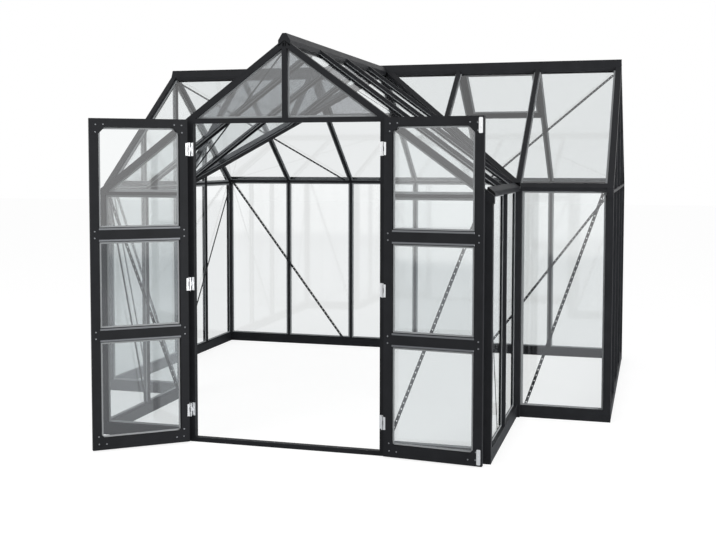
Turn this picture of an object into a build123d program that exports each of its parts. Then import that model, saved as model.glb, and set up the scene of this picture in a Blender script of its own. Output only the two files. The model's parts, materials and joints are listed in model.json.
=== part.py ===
"""T-shaped glass greenhouse: a six-bay main house, a four-bay front porch and outward-opening double doors.

All sizes are in millimetres. X runs left to right, Y from the door towards the back wall, Z up.
The origin is on the ground, under the middle of the door threshold.
"""
import math
import os

from build123d import *

os.makedirs("parts", exist_ok=True)

# Overall layout, counted in glazing bays
BAY = 620.0
MAIN_BAYS_WIDE = 6
MAIN_BAYS_DEEP = 4
PORCH_BAYS_WIDE = 4
PORCH_BAYS_DEEP = 2
EAVE_Z = 1568.0
RIDGE_Z = 2481.0
TIE_DROP = 23.0

MAIN_HALF = MAIN_BAYS_WIDE * BAY / 2
PORCH_HALF = PORCH_BAYS_WIDE * BAY / 2
STEP_Y = PORCH_BAYS_DEEP * BAY
BACK_Y = STEP_Y + MAIN_BAYS_DEEP * BAY
RIDGE_Y = (STEP_Y + BACK_Y) / 2
RUN = PORCH_HALF
TAN = (RIDGE_Z - EAVE_Z) / RUN
COS = 1 / math.hypot(1, TAN)
SIN = TAN * COS
SLOPE = RUN / COS
TIE_Z = EAVE_Z - TIE_DROP

# Glazing: offsets from a wall or roof grid plane, positive outwards
GLASS_T = 3.0
SEAT = -15.0
CAP_IN = -11.0
CAP_OUT = 12.0
FLANGE_IN = -18.0
INNER = -30.0
EDGE = 4.0
CAP_W = 30.0
FLANGE_W = 22.0
WEB_T = 4.0
BULB_W = 14.0
BULB_T = 5.0
GROOVE = 10.0

# Rails, posts and roof members
BASE_H = 80.0
WALL = 3.0
EAVE_DROP = 22.0
EAVE_OUT = 20.0
EAVE_LIP_H = 15.0
EAVE_CAP_IN = 24.0
EAVE_PANE_IN = 14.0
EAVE_UNDER = EAVE_Z - EAVE_DROP
POST_IN = 37.0
POST_OUT = 13.0
POST_SOLID_TOP = 100.0
CORNER_EDGE = POST_IN - GROOVE + 1
JUNCTION_FACE = 32.0
JUNCTION_BACK = 30.0
JUNCTION_GROOVE = 7.0
VERGE_DEPTH = 40.0
VERGE_IN = 30.0
RIDGE_CREST = 45.0
PORCH_CREST = 29.0
PORCH_VERGE_TOP = -3.0
RIDGE_CREST_W = 24.0
RIDGE_WING = 38.0
RIDGE_FLANGE = 24.0
RIDGE_CLEAR = 2.0
RIDGE_FOOT_DROP = 3.3
RIDGE_DEPTH = VERGE_DEPTH / COS + RIDGE_FOOT_DROP
RIDGE_OVERHANG = CAP_OUT - WALL
RIDGE_GLASS = 14.0
VALLEY_WING = 32.0
VALLEY_FLANGE = 24.0
VALLEY_CLEAR = 32.0
VALLEY_EDGE = 10.0
VALLEY_GAP = (VALLEY_EDGE * math.sqrt(2) + SEAT * SIN) / COS
TIE_H = 20.0
TIE_EDGE = WEB_T

# Doorway
JAMB_IN = BAY - 28
JAMB_OUT = BAY + 12
JAMB_GROOVE = 8.0
JAMB_EDGE = JAMB_GROOVE - 2
THRESHOLD_H = 28.0
HEADER_H = 30.0
HEADER_RISE = 12.6
HEADER_TOP_Z = RIDGE_Z - JAMB_IN * TAN - VERGE_DEPTH / COS + HEADER_RISE

# Door leaves: u runs from the hinge axis along the leaf, v across its thickness
HINGE_X = BAY - 8
HINGE_OUT = 32.0
LEAF_U0 = 12.0
LEAF_MEETING = 8.0
LEAF_U1 = HINGE_X - LEAF_MEETING / 2
LEAF_T = 26.0
LEAF_Z0 = 8.0
LEAF_Z1 = HEADER_TOP_Z - 6
STILE_W = 51.0
TOP_RAIL_H = 51.0
BOTTOM_RAIL_H = 72.0
MID_RAIL_H = 80.0
MID_RAILS_Z = [LEAF_Z0 + share * (LEAF_Z1 - LEAF_Z0) for share in (0.349, 0.652)]
LEAF_GROOVE = 8.0
LEAF_OPEN_LEFT = 141.0
LEAF_OPEN_RIGHT = 174.0
HINGE_FROM_FOOT = 197.0
HINGE_FROM_TOP = 182.0
HINGE_BELOW_MIDDLE = 15.0
HINGES_Z = (LEAF_Z0 + HINGE_FROM_FOOT, (LEAF_Z0 + LEAF_Z1) / 2 - HINGE_BELOW_MIDDLE, LEAF_Z1 - HINGE_FROM_TOP)
BARREL_R = 6.0
BARREL_H = 26.0
BARREL_GAP = 1.0
PIN_R = 2.5
PIN_CLEAR = 0.08
HINGE_PLATE_T = 2.0
HINGE_PLATE_W = 42.0
HINGE_LEAF_T = 4.0
HINGE_HALF = 41.0
BARREL_SPACE = 30.0

# Diagonal braces: thin straps on the room side of the bars
STRAP_W = 20.0
STRAP_T = 2.0
STRAP_TOP = EAVE_Z - 15
STRAP_GABLE_TOP = TIE_Z - 25
STRAP_FOOT = BASE_H / 2
STRAP_INSET = 50.0
ROOF_STRAP_TOP = SLOPE - 2 * RIDGE_WING
ROOF_STRAP_FOOT = 50.0

# Roof panes, measured up the slope from the eave line
GLASS_T0 = 10.0
GLASS_T1 = (RUN - RIDGE_GLASS + SEAT * SIN) / COS
NOTCH_CLEAR = 8.0

# Roof vents, shut
VENT_BAYS = (2, 4)
VENT_LENGTH = 530.0
VENT_TOP_T = (RUN - RIDGE_WING + SEAT * SIN) / COS
VENT_SILL_T = VENT_TOP_T - VENT_LENGTH
SASH_GAP = 16.0
SASH_W = 26.0
SASH_LOW = -6.0
SASH_HIGH = 15.0
SASH_GLASS = 3.0
SASH_GROOVE = 7.0
SASH_LIP = SASH_GROOVE + WALL

# Lengths that only have to reach past what they cut away
PAST = 100.0
FAR = 800.0


def mirrored(points):
    """Closed outline from its right half, listed from bottom to top."""
    return list(points) + [(-x, y) for x, y in reversed(points)]


def roof_z(run, offset):
    """Height of the surface lying offset mm above the roof plane, run mm out from the ridge."""
    return RIDGE_Z - run * TAN + offset / COS


def strip(run0, run1, offset0, offset1):
    """Side view of a straight roof member with vertical ends."""
    return [
        (run0, roof_z(run0, offset0)),
        (run1, roof_z(run1, offset0)),
        (run1, roof_z(run1, offset1)),
        (run0, roof_z(run0, offset1)),
    ]


def rectangle(x0, x1, y0, y1):
    """Corner points of a rectangle."""
    return [(x0, y0), (x1, y0), (x1, y1), (x0, y1)]


def wall_plane(x, y, outward):
    """Upright plane across a wall at (x, y): local x points outwards and local y up."""
    out = Vector(*outward, 0)
    return Plane(origin=(x, y, 0), x_dir=out, z_dir=out.cross(Vector(0, 0, 1)))


FRONT = (0, -1)
REAR = (0, 1)
LEFT = (-1, 0)
RIGHT = (1, 0)

BAR = mirrored([
    (BULB_W / 2, INNER),
    (BULB_W / 2, INNER + BULB_T),
    (WEB_T / 2, INNER + BULB_T),
    (WEB_T / 2, FLANGE_IN),
    (FLANGE_W / 2, FLANGE_IN),
    (FLANGE_W / 2, SEAT),
    (WEB_T / 2, SEAT),
    (WEB_T / 2, CAP_IN),
    (CAP_W / 2, CAP_IN),
    (CAP_W / 2, CAP_OUT),
])
BAR_HOLLOW = rectangle(WALL - CAP_W / 2, CAP_W / 2 - WALL, CAP_IN + WALL, CAP_OUT - WALL)


def bar_section(rotation=0):
    """Draws the section of a glazing bar: a hollow box outside the glass, a flange and a bulb inside it."""
    Polygon(*BAR, align=None, rotation=rotation)
    Polygon(*BAR_HOLLOW, align=None, rotation=rotation, mode=Mode.SUBTRACT)


BASE_RAIL = [
    (CAP_OUT, 0),
    (CAP_OUT, BASE_H),
    (CAP_IN, BASE_H),
    (CAP_IN, BASE_H - GROOVE),
    (SEAT, BASE_H - GROOVE),
    (SEAT, BASE_H),
    (FLANGE_IN, BASE_H),
    (FLANGE_IN, BASE_H - GROOVE),
    (INNER, BASE_H - GROOVE),
    (INNER, 0),
    (INNER + WALL, 0),
    (INNER + WALL, BASE_H - GROOVE - WALL),
    (CAP_IN + WALL, BASE_H - GROOVE - WALL),
    (CAP_IN + WALL, BASE_H - WALL),
    (CAP_OUT - WALL, BASE_H - WALL),
    (CAP_OUT - WALL, 0),
]


def eave_z(out, offset):
    """Height over the eave line: out mm outside the wall plane, offset mm above the roof plane."""
    return EAVE_Z - out * TAN + offset / COS


EAVE_RAIL = [
    (INNER, EAVE_UNDER),
    (SEAT, EAVE_UNDER),
    (SEAT, EAVE_UNDER + GROOVE),
    (CAP_IN, EAVE_UNDER + GROOVE),
    (CAP_IN, EAVE_UNDER),
    (EAVE_OUT, EAVE_UNDER),
    (EAVE_OUT, EAVE_UNDER + EAVE_LIP_H),
    (EAVE_OUT - WALL, EAVE_UNDER + EAVE_LIP_H),
    (EAVE_OUT - WALL, EAVE_UNDER + WALL),
    (CAP_OUT, EAVE_UNDER + WALL),
    (CAP_OUT, eave_z(CAP_OUT, CAP_OUT)),
    (-EAVE_CAP_IN, eave_z(-EAVE_CAP_IN, CAP_OUT)),
    (-EAVE_CAP_IN, eave_z(-EAVE_CAP_IN, CAP_IN)),
    (-EAVE_PANE_IN, eave_z(-EAVE_PANE_IN, CAP_IN)),
    (-EAVE_PANE_IN, eave_z(-EAVE_PANE_IN, SEAT)),
    (INNER, eave_z(INNER, SEAT)),
]
EAVE_HOLLOW_IN = [
    (INNER + WALL, EAVE_UNDER + WALL),
    (SEAT - WALL, EAVE_UNDER + WALL),
    (SEAT - WALL, eave_z(SEAT - WALL, SEAT - WALL)),
    (INNER + WALL, eave_z(INNER + WALL, SEAT - WALL)),
]
EAVE_HOLLOW_OUT = [
    (CAP_IN + WALL, EAVE_UNDER + WALL),
    (CAP_OUT - WALL, EAVE_UNDER + WALL),
    (CAP_OUT - WALL, eave_z(CAP_OUT - WALL, CAP_OUT - WALL)),
    (WALL - EAVE_CAP_IN, eave_z(WALL - EAVE_CAP_IN, CAP_OUT - WALL)),
    (WALL - EAVE_CAP_IN, eave_z(WALL - EAVE_CAP_IN, CAP_IN + WALL)),
    (WALL - EAVE_PANE_IN, eave_z(WALL - EAVE_PANE_IN, CAP_IN + WALL)),
    (WALL - EAVE_PANE_IN, EAVE_UNDER + GROOVE + WALL),
    (CAP_IN + WALL, EAVE_UNDER + GROOVE + WALL),
]


def eave_section():
    """Draws the section of an eave rail with its two hollows."""
    Polygon(*EAVE_RAIL, align=None)
    Polygon(*EAVE_HOLLOW_IN, align=None, mode=Mode.SUBTRACT)
    Polygon(*EAVE_HOLLOW_OUT, align=None, mode=Mode.SUBTRACT)


TIE = mirrored([
    (WEB_T / 2, INNER + WALL),
    (WEB_T / 2, FLANGE_IN),
    (TIE_H / 2, FLANGE_IN),
    (TIE_H / 2, SEAT),
    (WEB_T / 2, SEAT),
    (WEB_T / 2, CAP_IN),
    (TIE_H / 2, CAP_IN),
    (TIE_H / 2, CAP_OUT),
])
TIE_SECTION = [(out, TIE_Z + across) for across, out in TIE]
TIE_HOLLOW = rectangle(CAP_IN + WALL, CAP_OUT - WALL, TIE_Z - TIE_H / 2 + WALL, TIE_Z + TIE_H / 2 - WALL)


def tie_section():
    """Draws the section of a level glazing bar with its hollow."""
    Polygon(*TIE_SECTION, align=None)
    Polygon(*TIE_HOLLOW, align=None, mode=Mode.SUBTRACT)


def ridge_section(crest):
    """Corners of a ridge section whose flat crest stands the given height above the roof grid planes."""
    return mirrored([
        (BULB_W / 2 + WALL, RIDGE_Z - RIDGE_DEPTH),
        (BULB_W / 2 + WALL, RIDGE_Z - RIDGE_DEPTH + BULB_T),
        (WALL, RIDGE_Z - RIDGE_DEPTH + BULB_T),
        (WALL, roof_z(WALL, FLANGE_IN)),
        (RIDGE_FLANGE, roof_z(RIDGE_FLANGE, FLANGE_IN)),
        (RIDGE_FLANGE, roof_z(RIDGE_FLANGE, SEAT)),
        (WALL, roof_z(WALL, SEAT)),
        (WALL, roof_z(WALL, CAP_IN)),
        (RIDGE_WING, roof_z(RIDGE_WING, CAP_IN)),
        (RIDGE_WING, roof_z(RIDGE_WING, CAP_OUT)),
        (RIDGE_CREST_W / 2, RIDGE_Z + crest),
    ])


def ridge_box(crest):
    """Corners of the closed box on top of a ridge."""
    return mirrored([
        (WALL, roof_z(WALL, CAP_IN)),
        (RIDGE_WING, roof_z(RIDGE_WING, CAP_IN)),
        (RIDGE_WING, roof_z(RIDGE_WING, CAP_OUT)),
        (RIDGE_CREST_W / 2, RIDGE_Z + crest),
    ])


def ridge_hollow(crest):
    """Corners of the hollow inside that box."""
    return mirrored([
        (WALL, roof_z(WALL, CAP_IN + WALL)),
        (RIDGE_WING - WALL, roof_z(RIDGE_WING - WALL, CAP_IN + WALL)),
        (RIDGE_WING - WALL, roof_z(RIDGE_WING - WALL, CAP_OUT - WALL)),
        (RIDGE_CREST_W / 2 - WALL, RIDGE_Z + crest - WALL),
    ])


RIDGE_CUT = RIDGE_WING + RIDGE_CLEAR
RIDGE_ENVELOPE = mirrored([
    (BULB_W / 2 + WALL, RIDGE_Z - RIDGE_DEPTH),
    (RIDGE_WING, roof_z(RIDGE_WING, FLANGE_IN)),
    (RIDGE_WING, roof_z(RIDGE_WING, CAP_OUT)),
    (RIDGE_CREST_W / 2, RIDGE_Z + RIDGE_CREST),
])

CORNERS = (
    (-PORCH_HALF, 0, -1, -1),
    (PORCH_HALF, 0, 1, -1),
    (-MAIN_HALF, STEP_Y, -1, -1),
    (MAIN_HALF, STEP_Y, 1, -1),
    (-MAIN_HALF, BACK_Y, -1, 1),
    (MAIN_HALF, BACK_Y, 1, 1),
)

# Base rails, between the posts
with BuildPart() as base_rails_x:
    for side in (-1, 1):
        rail_x = side * (JAMB_OUT + PORCH_HALF - POST_IN) / 2
        with BuildSketch(wall_plane(rail_x, 0, FRONT)):
            Polygon(*BASE_RAIL, align=None)
        extrude(amount=(PORCH_HALF - POST_IN - JAMB_OUT) / 2, both=True)
        rail_x = side * (PORCH_HALF + JUNCTION_FACE + MAIN_HALF - POST_IN) / 2
        with BuildSketch(wall_plane(rail_x, STEP_Y, FRONT)):
            Polygon(*BASE_RAIL, align=None)
        extrude(amount=(MAIN_HALF - POST_IN - PORCH_HALF - JUNCTION_FACE) / 2, both=True)
    with BuildSketch(wall_plane(0, BACK_Y, REAR)):
        Polygon(*BASE_RAIL, align=None)
    extrude(amount=MAIN_HALF - POST_IN, both=True)

with BuildPart() as base_rails_y:
    for side, outward in ((-1, LEFT), (1, RIGHT)):
        rail_y = (POST_IN + STEP_Y - JUNCTION_FACE) / 2
        with BuildSketch(wall_plane(side * PORCH_HALF, rail_y, outward)):
            Polygon(*BASE_RAIL, align=None)
        extrude(amount=(STEP_Y - JUNCTION_FACE - POST_IN) / 2, both=True)
        with BuildSketch(wall_plane(side * MAIN_HALF, RIDGE_Y, outward)):
            Polygon(*BASE_RAIL, align=None)
        extrude(amount=(BACK_Y - STEP_Y) / 2 - POST_IN, both=True)

with BuildPart() as threshold:
    with BuildSketch(wall_plane(0, 0, FRONT)):
        Polygon(*rectangle(INNER, CAP_OUT, 0, THRESHOLD_H), align=None)
        Polygon(
            *rectangle(INNER + WALL, CAP_OUT - WALL, WALL, THRESHOLD_H - WALL),
            align=None,
            mode=Mode.SUBTRACT,
        )
    extrude(amount=JAMB_IN, both=True)

# Posts
POST_HOLLOW_IN = POST_IN - GROOVE - WALL

with BuildPart() as corner_posts:
    with BuildSketch():
        for x, y, sx, sy in CORNERS:
            with Locations((x + sx * (POST_OUT - POST_IN) / 2, y + sy * (POST_OUT - POST_IN) / 2)):
                Rectangle(POST_OUT + POST_IN, POST_OUT + POST_IN)
            with Locations((x + sx * (SEAT + CAP_IN) / 2, y - sy * (POST_IN - GROOVE / 2))):
                Rectangle(CAP_IN - SEAT, GROOVE, mode=Mode.SUBTRACT)
            with Locations((x - sx * (POST_IN - GROOVE / 2), y + sy * (SEAT + CAP_IN) / 2)):
                Rectangle(GROOVE, CAP_IN - SEAT, mode=Mode.SUBTRACT)
    extrude(amount=EAVE_Z + CAP_OUT)
    with BuildSketch():
        for x, y, sx, sy in CORNERS:
            middle = (POST_OUT - WALL - POST_HOLLOW_IN) / 2
            with Locations((x + sx * middle, y + sy * middle)):
                Rectangle(POST_OUT - WALL + POST_HOLLOW_IN, POST_OUT - WALL + POST_HOLLOW_IN)
    extrude(amount=EAVE_UNDER - POST_SOLID_TOP, mode=Mode.SUBTRACT)
    with BuildSketch(Plane.XZ.offset(-STEP_Y / 2)):
        for side in (-1, 1):
            cut = strip(RUN - PAST, RUN + PAST, -VERGE_DEPTH, PAST)
            Polygon(*[(side * run, z) for run, z in cut], align=None)
    extrude(amount=STEP_Y, both=True, mode=Mode.SUBTRACT)
    with BuildSketch(Plane.YZ):
        for side in (-1, 1):
            cut = strip(RUN - PAST, RUN + PAST, -VERGE_DEPTH, PAST)
            Polygon(*[(RIDGE_Y + side * run, z) for run, z in cut], align=None)
    extrude(amount=MAIN_HALF + PAST, both=True, mode=Mode.SUBTRACT)


def junction_rectangle(side, out_x0, out_x1, out_y0, out_y1, mode=Mode.ADD):
    """Rectangle in the plan of a junction post, its sides measured outwards from the porch and wing walls."""
    with Locations((side * (PORCH_HALF + (out_x0 + out_x1) / 2), STEP_Y - (out_y0 + out_y1) / 2)):
        Rectangle(out_x1 - out_x0, out_y1 - out_y0, mode=mode)


with BuildPart() as junction_posts:
    with BuildSketch():
        for side in (-1, 1):
            groove = JUNCTION_FACE - JUNCTION_GROOVE
            face = JUNCTION_FACE - WALL
            back = WALL - JUNCTION_BACK
            junction_rectangle(side, -JUNCTION_BACK, JUNCTION_FACE, -JUNCTION_BACK, JUNCTION_FACE)
            junction_rectangle(side, groove, JUNCTION_FACE, SEAT, CAP_IN, Mode.SUBTRACT)
            junction_rectangle(side, SEAT, CAP_IN, groove, JUNCTION_FACE, Mode.SUBTRACT)
            junction_rectangle(side, CAP_IN + WALL, face, CAP_IN + WALL, face, Mode.SUBTRACT)
            junction_rectangle(side, back, SEAT - WALL, back, face, Mode.SUBTRACT)
            junction_rectangle(side, back, face, back, SEAT - WALL, Mode.SUBTRACT)
    extrude(amount=EAVE_UNDER)

# Door frame
with BuildPart() as jambs:
    with BuildSketch():
        for side in (-1, 1):
            with Locations((side * (JAMB_IN + JAMB_OUT) / 2, -(CAP_OUT + INNER) / 2)):
                Rectangle(JAMB_OUT - JAMB_IN, CAP_OUT - INNER)
            with Locations((side * (JAMB_IN + JAMB_OUT - JAMB_GROOVE) / 2, -(CAP_OUT + INNER) / 2)):
                hollow_w = JAMB_OUT - JAMB_IN - JAMB_GROOVE - 2 * WALL
                Rectangle(hollow_w, CAP_OUT - INNER - 2 * WALL, mode=Mode.SUBTRACT)
            with Locations((side * (JAMB_OUT - JAMB_GROOVE / 2), -(SEAT + CAP_IN) / 2)):
                Rectangle(JAMB_GROOVE, CAP_IN - SEAT, mode=Mode.SUBTRACT)
    extrude(amount=HEADER_TOP_Z)
    with BuildSketch(Plane.XZ):
        for side in (-1, 1):
            cut = strip(JAMB_IN - PAST, JAMB_OUT + PAST, -VERGE_DEPTH, PAST)
            Polygon(*[(side * run, z) for run, z in cut], align=None)
    extrude(amount=PAST, both=True, mode=Mode.SUBTRACT)

HEADER_LOW_Z = HEADER_TOP_Z - HEADER_H
HEADER_SECTION = [
    (CAP_OUT, HEADER_LOW_Z),
    (CAP_OUT, HEADER_TOP_Z),
    (CAP_IN, HEADER_TOP_Z),
    (CAP_IN, HEADER_TOP_Z - GROOVE),
    (SEAT, HEADER_TOP_Z - GROOVE),
    (SEAT, HEADER_TOP_Z),
    (FLANGE_IN, HEADER_TOP_Z),
    (FLANGE_IN, HEADER_TOP_Z - GROOVE),
    (INNER, HEADER_TOP_Z - GROOVE),
    (INNER, HEADER_LOW_Z),
]
HEADER_HOLLOW = [
    (INNER + WALL, HEADER_LOW_Z + WALL),
    (CAP_OUT - WALL, HEADER_LOW_Z + WALL),
    (CAP_OUT - WALL, HEADER_TOP_Z - WALL),
    (CAP_IN + WALL, HEADER_TOP_Z - WALL),
    (CAP_IN + WALL, HEADER_TOP_Z - GROOVE - WALL),
    (INNER + WALL, HEADER_TOP_Z - GROOVE - WALL),
]
with BuildPart() as header:
    with BuildSketch(wall_plane(0, 0, FRONT)):
        Polygon(*HEADER_SECTION, align=None)
        Polygon(*HEADER_HOLLOW, align=None, mode=Mode.SUBTRACT)
    extrude(amount=JAMB_IN, both=True)
    with BuildSketch(Plane.XZ):
        for side in (-1, 1):
            cut = strip(JAMB_IN / 2, JAMB_OUT + PAST, -VERGE_DEPTH, FAR)
            Polygon(*[(side * run, z) for run, z in cut], align=None)
    extrude(amount=PAST, both=True, mode=Mode.SUBTRACT)

with BuildPart() as king_post:
    with BuildSketch(Plane.XY.offset(HEADER_TOP_Z)):
        bar_section(180)
    extrude(amount=RIDGE_Z - HEADER_TOP_Z)
    with BuildSketch(Plane.XZ):
        Polygon(*rectangle(-CAP_W, CAP_W, RIDGE_Z - RIDGE_DEPTH, RIDGE_Z), align=None)
        for side in (-1, 1):
            cut = strip(0, 2 * CAP_W, -VERGE_DEPTH, PAST)
            Polygon(*[(side * run, z) for run, z in cut], align=None)
    extrude(amount=PAST, both=True, mode=Mode.SUBTRACT)

# Upright glazing bars
with BuildPart() as bars_back:
    with BuildSketch(Plane.XY.offset(BASE_H)):
        for bay in range(1, MAIN_BAYS_WIDE):
            with Locations((bay * BAY - MAIN_HALF, BACK_Y)):
                bar_section()
    extrude(amount=EAVE_UNDER - BASE_H)

with BuildPart() as bars_porch:
    with BuildSketch(Plane.XY.offset(BASE_H)):
        for side in (-1, 1):
            with Locations((side * PORCH_HALF, BAY)):
                bar_section(-90 * side)
    extrude(amount=EAVE_UNDER - BASE_H)

with BuildPart() as bars_gables:
    with BuildSketch(Plane.XY.offset(BASE_H)):
        for side in (-1, 1):
            for bay in range(1, MAIN_BAYS_DEEP):
                with Locations((side * MAIN_HALF, STEP_Y + bay * BAY)):
                    bar_section(-90 * side)
    extrude(amount=RIDGE_Z - BASE_H)
    with BuildSketch(Plane.YZ):
        foot_z = RIDGE_Z - RIDGE_DEPTH
        Polygon(*rectangle(RIDGE_Y - BAY / 2, RIDGE_Y + BAY / 2, foot_z, RIDGE_Z + PAST), align=None)
        for side in (-1, 1):
            cut = strip(0, RUN, -VERGE_DEPTH, FAR)
            Polygon(*[(RIDGE_Y + side * run, z) for run, z in cut], align=None)
    extrude(amount=MAIN_HALF + PAST, both=True, mode=Mode.SUBTRACT)

# Level glazing bars of the gables and of the panels beside the doors
with BuildPart() as ties:
    for side, outward in ((-1, LEFT), (1, RIGHT)):
        for bay in range(MAIN_BAYS_DEEP):
            y0 = STEP_Y + bay * BAY + (POST_IN if bay == 0 else CAP_W / 2)
            y1 = STEP_Y + (bay + 1) * BAY - (POST_IN if bay == MAIN_BAYS_DEEP - 1 else CAP_W / 2)
            with BuildSketch(wall_plane(side * MAIN_HALF, (y0 + y1) / 2, outward)):
                tie_section()
            extrude(amount=(y1 - y0) / 2, both=True)
    with BuildSketch(Plane.YZ):
        for side in (-1, 1):
            cut = strip(RUN / 2, RUN + PAST, -VERGE_DEPTH, FAR)
            Polygon(*[(RIDGE_Y + side * run, z) for run, z in cut], align=None)
    extrude(amount=MAIN_HALF + PAST, both=True, mode=Mode.SUBTRACT)
    for side in (-1, 1):
        with BuildSketch(wall_plane(side * (JAMB_OUT + PORCH_HALF - POST_IN) / 2, 0, FRONT)):
            tie_section()
        extrude(amount=(PORCH_HALF - POST_IN - JAMB_OUT) / 2, both=True)
    with BuildSketch(Plane.XZ):
        for side in (-1, 1):
            cut = strip(RUN / 2, RUN + PAST, -VERGE_DEPTH, FAR)
            Polygon(*[(side * run, z) for run, z in cut], align=None)
    extrude(amount=PAST, both=True, mode=Mode.SUBTRACT)

# Eave rails
with BuildPart() as eaves_porch:
    for side, outward in ((-1, LEFT), (1, RIGHT)):
        rail_y = (VERGE_IN + STEP_Y - INNER) / 2
        with BuildSketch(wall_plane(side * PORCH_HALF, rail_y, outward)):
            eave_section()
        extrude(amount=(STEP_Y - INNER - VERGE_IN) / 2, both=True)

with BuildPart() as eaves_main:
    with BuildSketch(wall_plane(0, BACK_Y, REAR)):
        eave_section()
    extrude(amount=MAIN_HALF - VERGE_IN, both=True)
    for side in (-1, 1):
        rail_x = side * (PORCH_HALF + EAVE_OUT + MAIN_HALF - VERGE_IN) / 2
        with BuildSketch(wall_plane(rail_x, STEP_Y, FRONT)):
            eave_section()
        extrude(amount=(MAIN_HALF - VERGE_IN - PORCH_HALF - EAVE_OUT) / 2, both=True)

# Sloping gable bars: outlines, glass slots and hollows, each with its span measured outwards from the wall
LOW_END = RUN + EAVE_OUT
HOLLOW_END = LOW_END - WALL
VERGE_SKIN = CAP_OUT - WALL
VERGE_BODY = (
    (strip(BULB_W / 2 + WALL, LOW_END, -VERGE_DEPTH, FLANGE_IN), -VERGE_IN, CAP_OUT, Mode.ADD),
    (strip(RIDGE_WING, LOW_END, FLANGE_IN, CAP_IN + WALL), -VERGE_IN, CAP_OUT, Mode.ADD),
    (strip(0, LOW_END + PAST, -VERGE_DEPTH - WALL, GROOVE - VERGE_DEPTH), SEAT, CAP_IN, Mode.SUBTRACT),
    (strip(0, LOW_END + PAST, SEAT, CAP_IN), -VERGE_IN, GROOVE - WALL - VERGE_IN, Mode.SUBTRACT),
    (strip(RIDGE_WING, HOLLOW_END, WALL - VERGE_DEPTH, CAP_IN), CAP_IN + WALL, VERGE_SKIN, Mode.SUBTRACT),
    (strip(0, HOLLOW_END, WALL - VERGE_DEPTH, FLANGE_IN - WALL), WALL - VERGE_IN, SEAT - WALL, Mode.SUBTRACT),
)
PORCH_VERGE_TOP_PLATE = (
    (strip(RIDGE_WING, LOW_END, CAP_IN + WALL, PORCH_VERGE_TOP), -VERGE_IN, CAP_OUT, Mode.ADD),
)
MAIN_VERGE_TOP_BOX = (
    (strip(RIDGE_WING, LOW_END, CAP_IN + WALL, CAP_OUT), -VERGE_IN, CAP_OUT, Mode.ADD),
    (strip(RIDGE_WING, HOLLOW_END, CAP_IN + WALL, VERGE_SKIN), WALL - VERGE_IN, VERGE_SKIN, Mode.SUBTRACT),
)

with BuildPart() as verge_front:
    for side in (-1, 1):
        for outline, inner, outer, mode in VERGE_BODY + PORCH_VERGE_TOP_PLATE:
            with BuildSketch(Plane.XZ.offset(inner)):
                Polygon(*[(side * run, z) for run, z in outline], align=None)
            extrude(amount=outer - inner, mode=mode)

with BuildPart() as verges_main:
    for side in (-1, 1):
        for outline, inner, outer, mode in VERGE_BODY + MAIN_VERGE_TOP_BOX:
            with BuildSketch(Plane.YZ.offset(MAIN_HALF + inner)):
                Polygon(*[(RIDGE_Y + side * run, z) for run, z in outline], align=None)
            extrude(amount=outer - inner, mode=mode)
    mirror(about=Plane.YZ)

# Ridges, their end caps and the valleys
with BuildPart() as ridge_main:
    with BuildSketch(Plane.YZ.offset(-MAIN_HALF - RIDGE_OVERHANG)):
        Polygon(*[(RIDGE_Y + run, z) for run, z in ridge_section(RIDGE_CREST)], align=None)
        Polygon(*[(RIDGE_Y + run, z) for run, z in ridge_hollow(RIDGE_CREST)], align=None, mode=Mode.SUBTRACT)
    extrude(amount=2 * (MAIN_HALF + RIDGE_OVERHANG))

with BuildPart() as ridge_porch:
    with BuildSketch(Plane.XZ.offset(RIDGE_OVERHANG)):
        Polygon(*ridge_section(PORCH_CREST), align=None)
        Polygon(*ridge_hollow(PORCH_CREST), align=None, mode=Mode.SUBTRACT)
    extrude(amount=-RIDGE_OVERHANG - RIDGE_Y)
    with BuildSketch(Plane.YZ):
        Polygon(*[(RIDGE_Y + run, z) for run, z in RIDGE_ENVELOPE], align=None)
    extrude(amount=3 * RIDGE_WING, both=True, mode=Mode.SUBTRACT)

with BuildPart() as ridge_caps:
    with BuildSketch(Plane.YZ.offset(MAIN_HALF + RIDGE_OVERHANG)):
        Polygon(*[(RIDGE_Y + run, z) for run, z in ridge_box(RIDGE_CREST)], align=None)
    extrude(amount=WALL)
    mirror(about=Plane.YZ)
    with BuildSketch(Plane.XZ.offset(RIDGE_OVERHANG)):
        Polygon(*ridge_box(PORCH_CREST), align=None)
    extrude(amount=WALL)

VALLEY_COS = (TAN * SIN + 2 * COS) / math.sqrt(2 * TAN * TAN + 4)
VALLEY_TAN = SIN / math.sqrt(2) / VALLEY_COS
VALLEY_LENGTH = math.sqrt(2 * RUN * RUN + (RIDGE_Z - EAVE_Z) ** 2)


def valley_y(x, offset):
    """Height in the valley's section, x mm off its centre line, offset mm above the roof planes."""
    return x * VALLEY_TAN + offset / VALLEY_COS


VALLEY_SECTION = mirrored([
    (BULB_W / 2, INNER - BULB_T),
    (BULB_W / 2, INNER),
    (WALL, INNER),
    (WALL, valley_y(WALL, FLANGE_IN)),
    (VALLEY_FLANGE, valley_y(VALLEY_FLANGE, FLANGE_IN)),
    (VALLEY_FLANGE, valley_y(VALLEY_FLANGE, SEAT)),
    (WALL, valley_y(WALL, SEAT)),
    (WALL, valley_y(WALL, CAP_IN)),
    (VALLEY_WING, valley_y(VALLEY_WING, CAP_IN)),
    (VALLEY_WING, valley_y(VALLEY_WING, CAP_OUT)),
    (1, valley_y(1, CAP_OUT)),
])
VALLEY_HOLLOW = mirrored([
    (1, valley_y(1, CAP_IN + WALL)),
    (VALLEY_WING - WALL, valley_y(VALLEY_WING - WALL, CAP_IN + WALL)),
    (VALLEY_WING - WALL, valley_y(VALLEY_WING - WALL, CAP_OUT - WALL)),
    (1, valley_y(1, CAP_OUT - WALL)),
])

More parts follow.
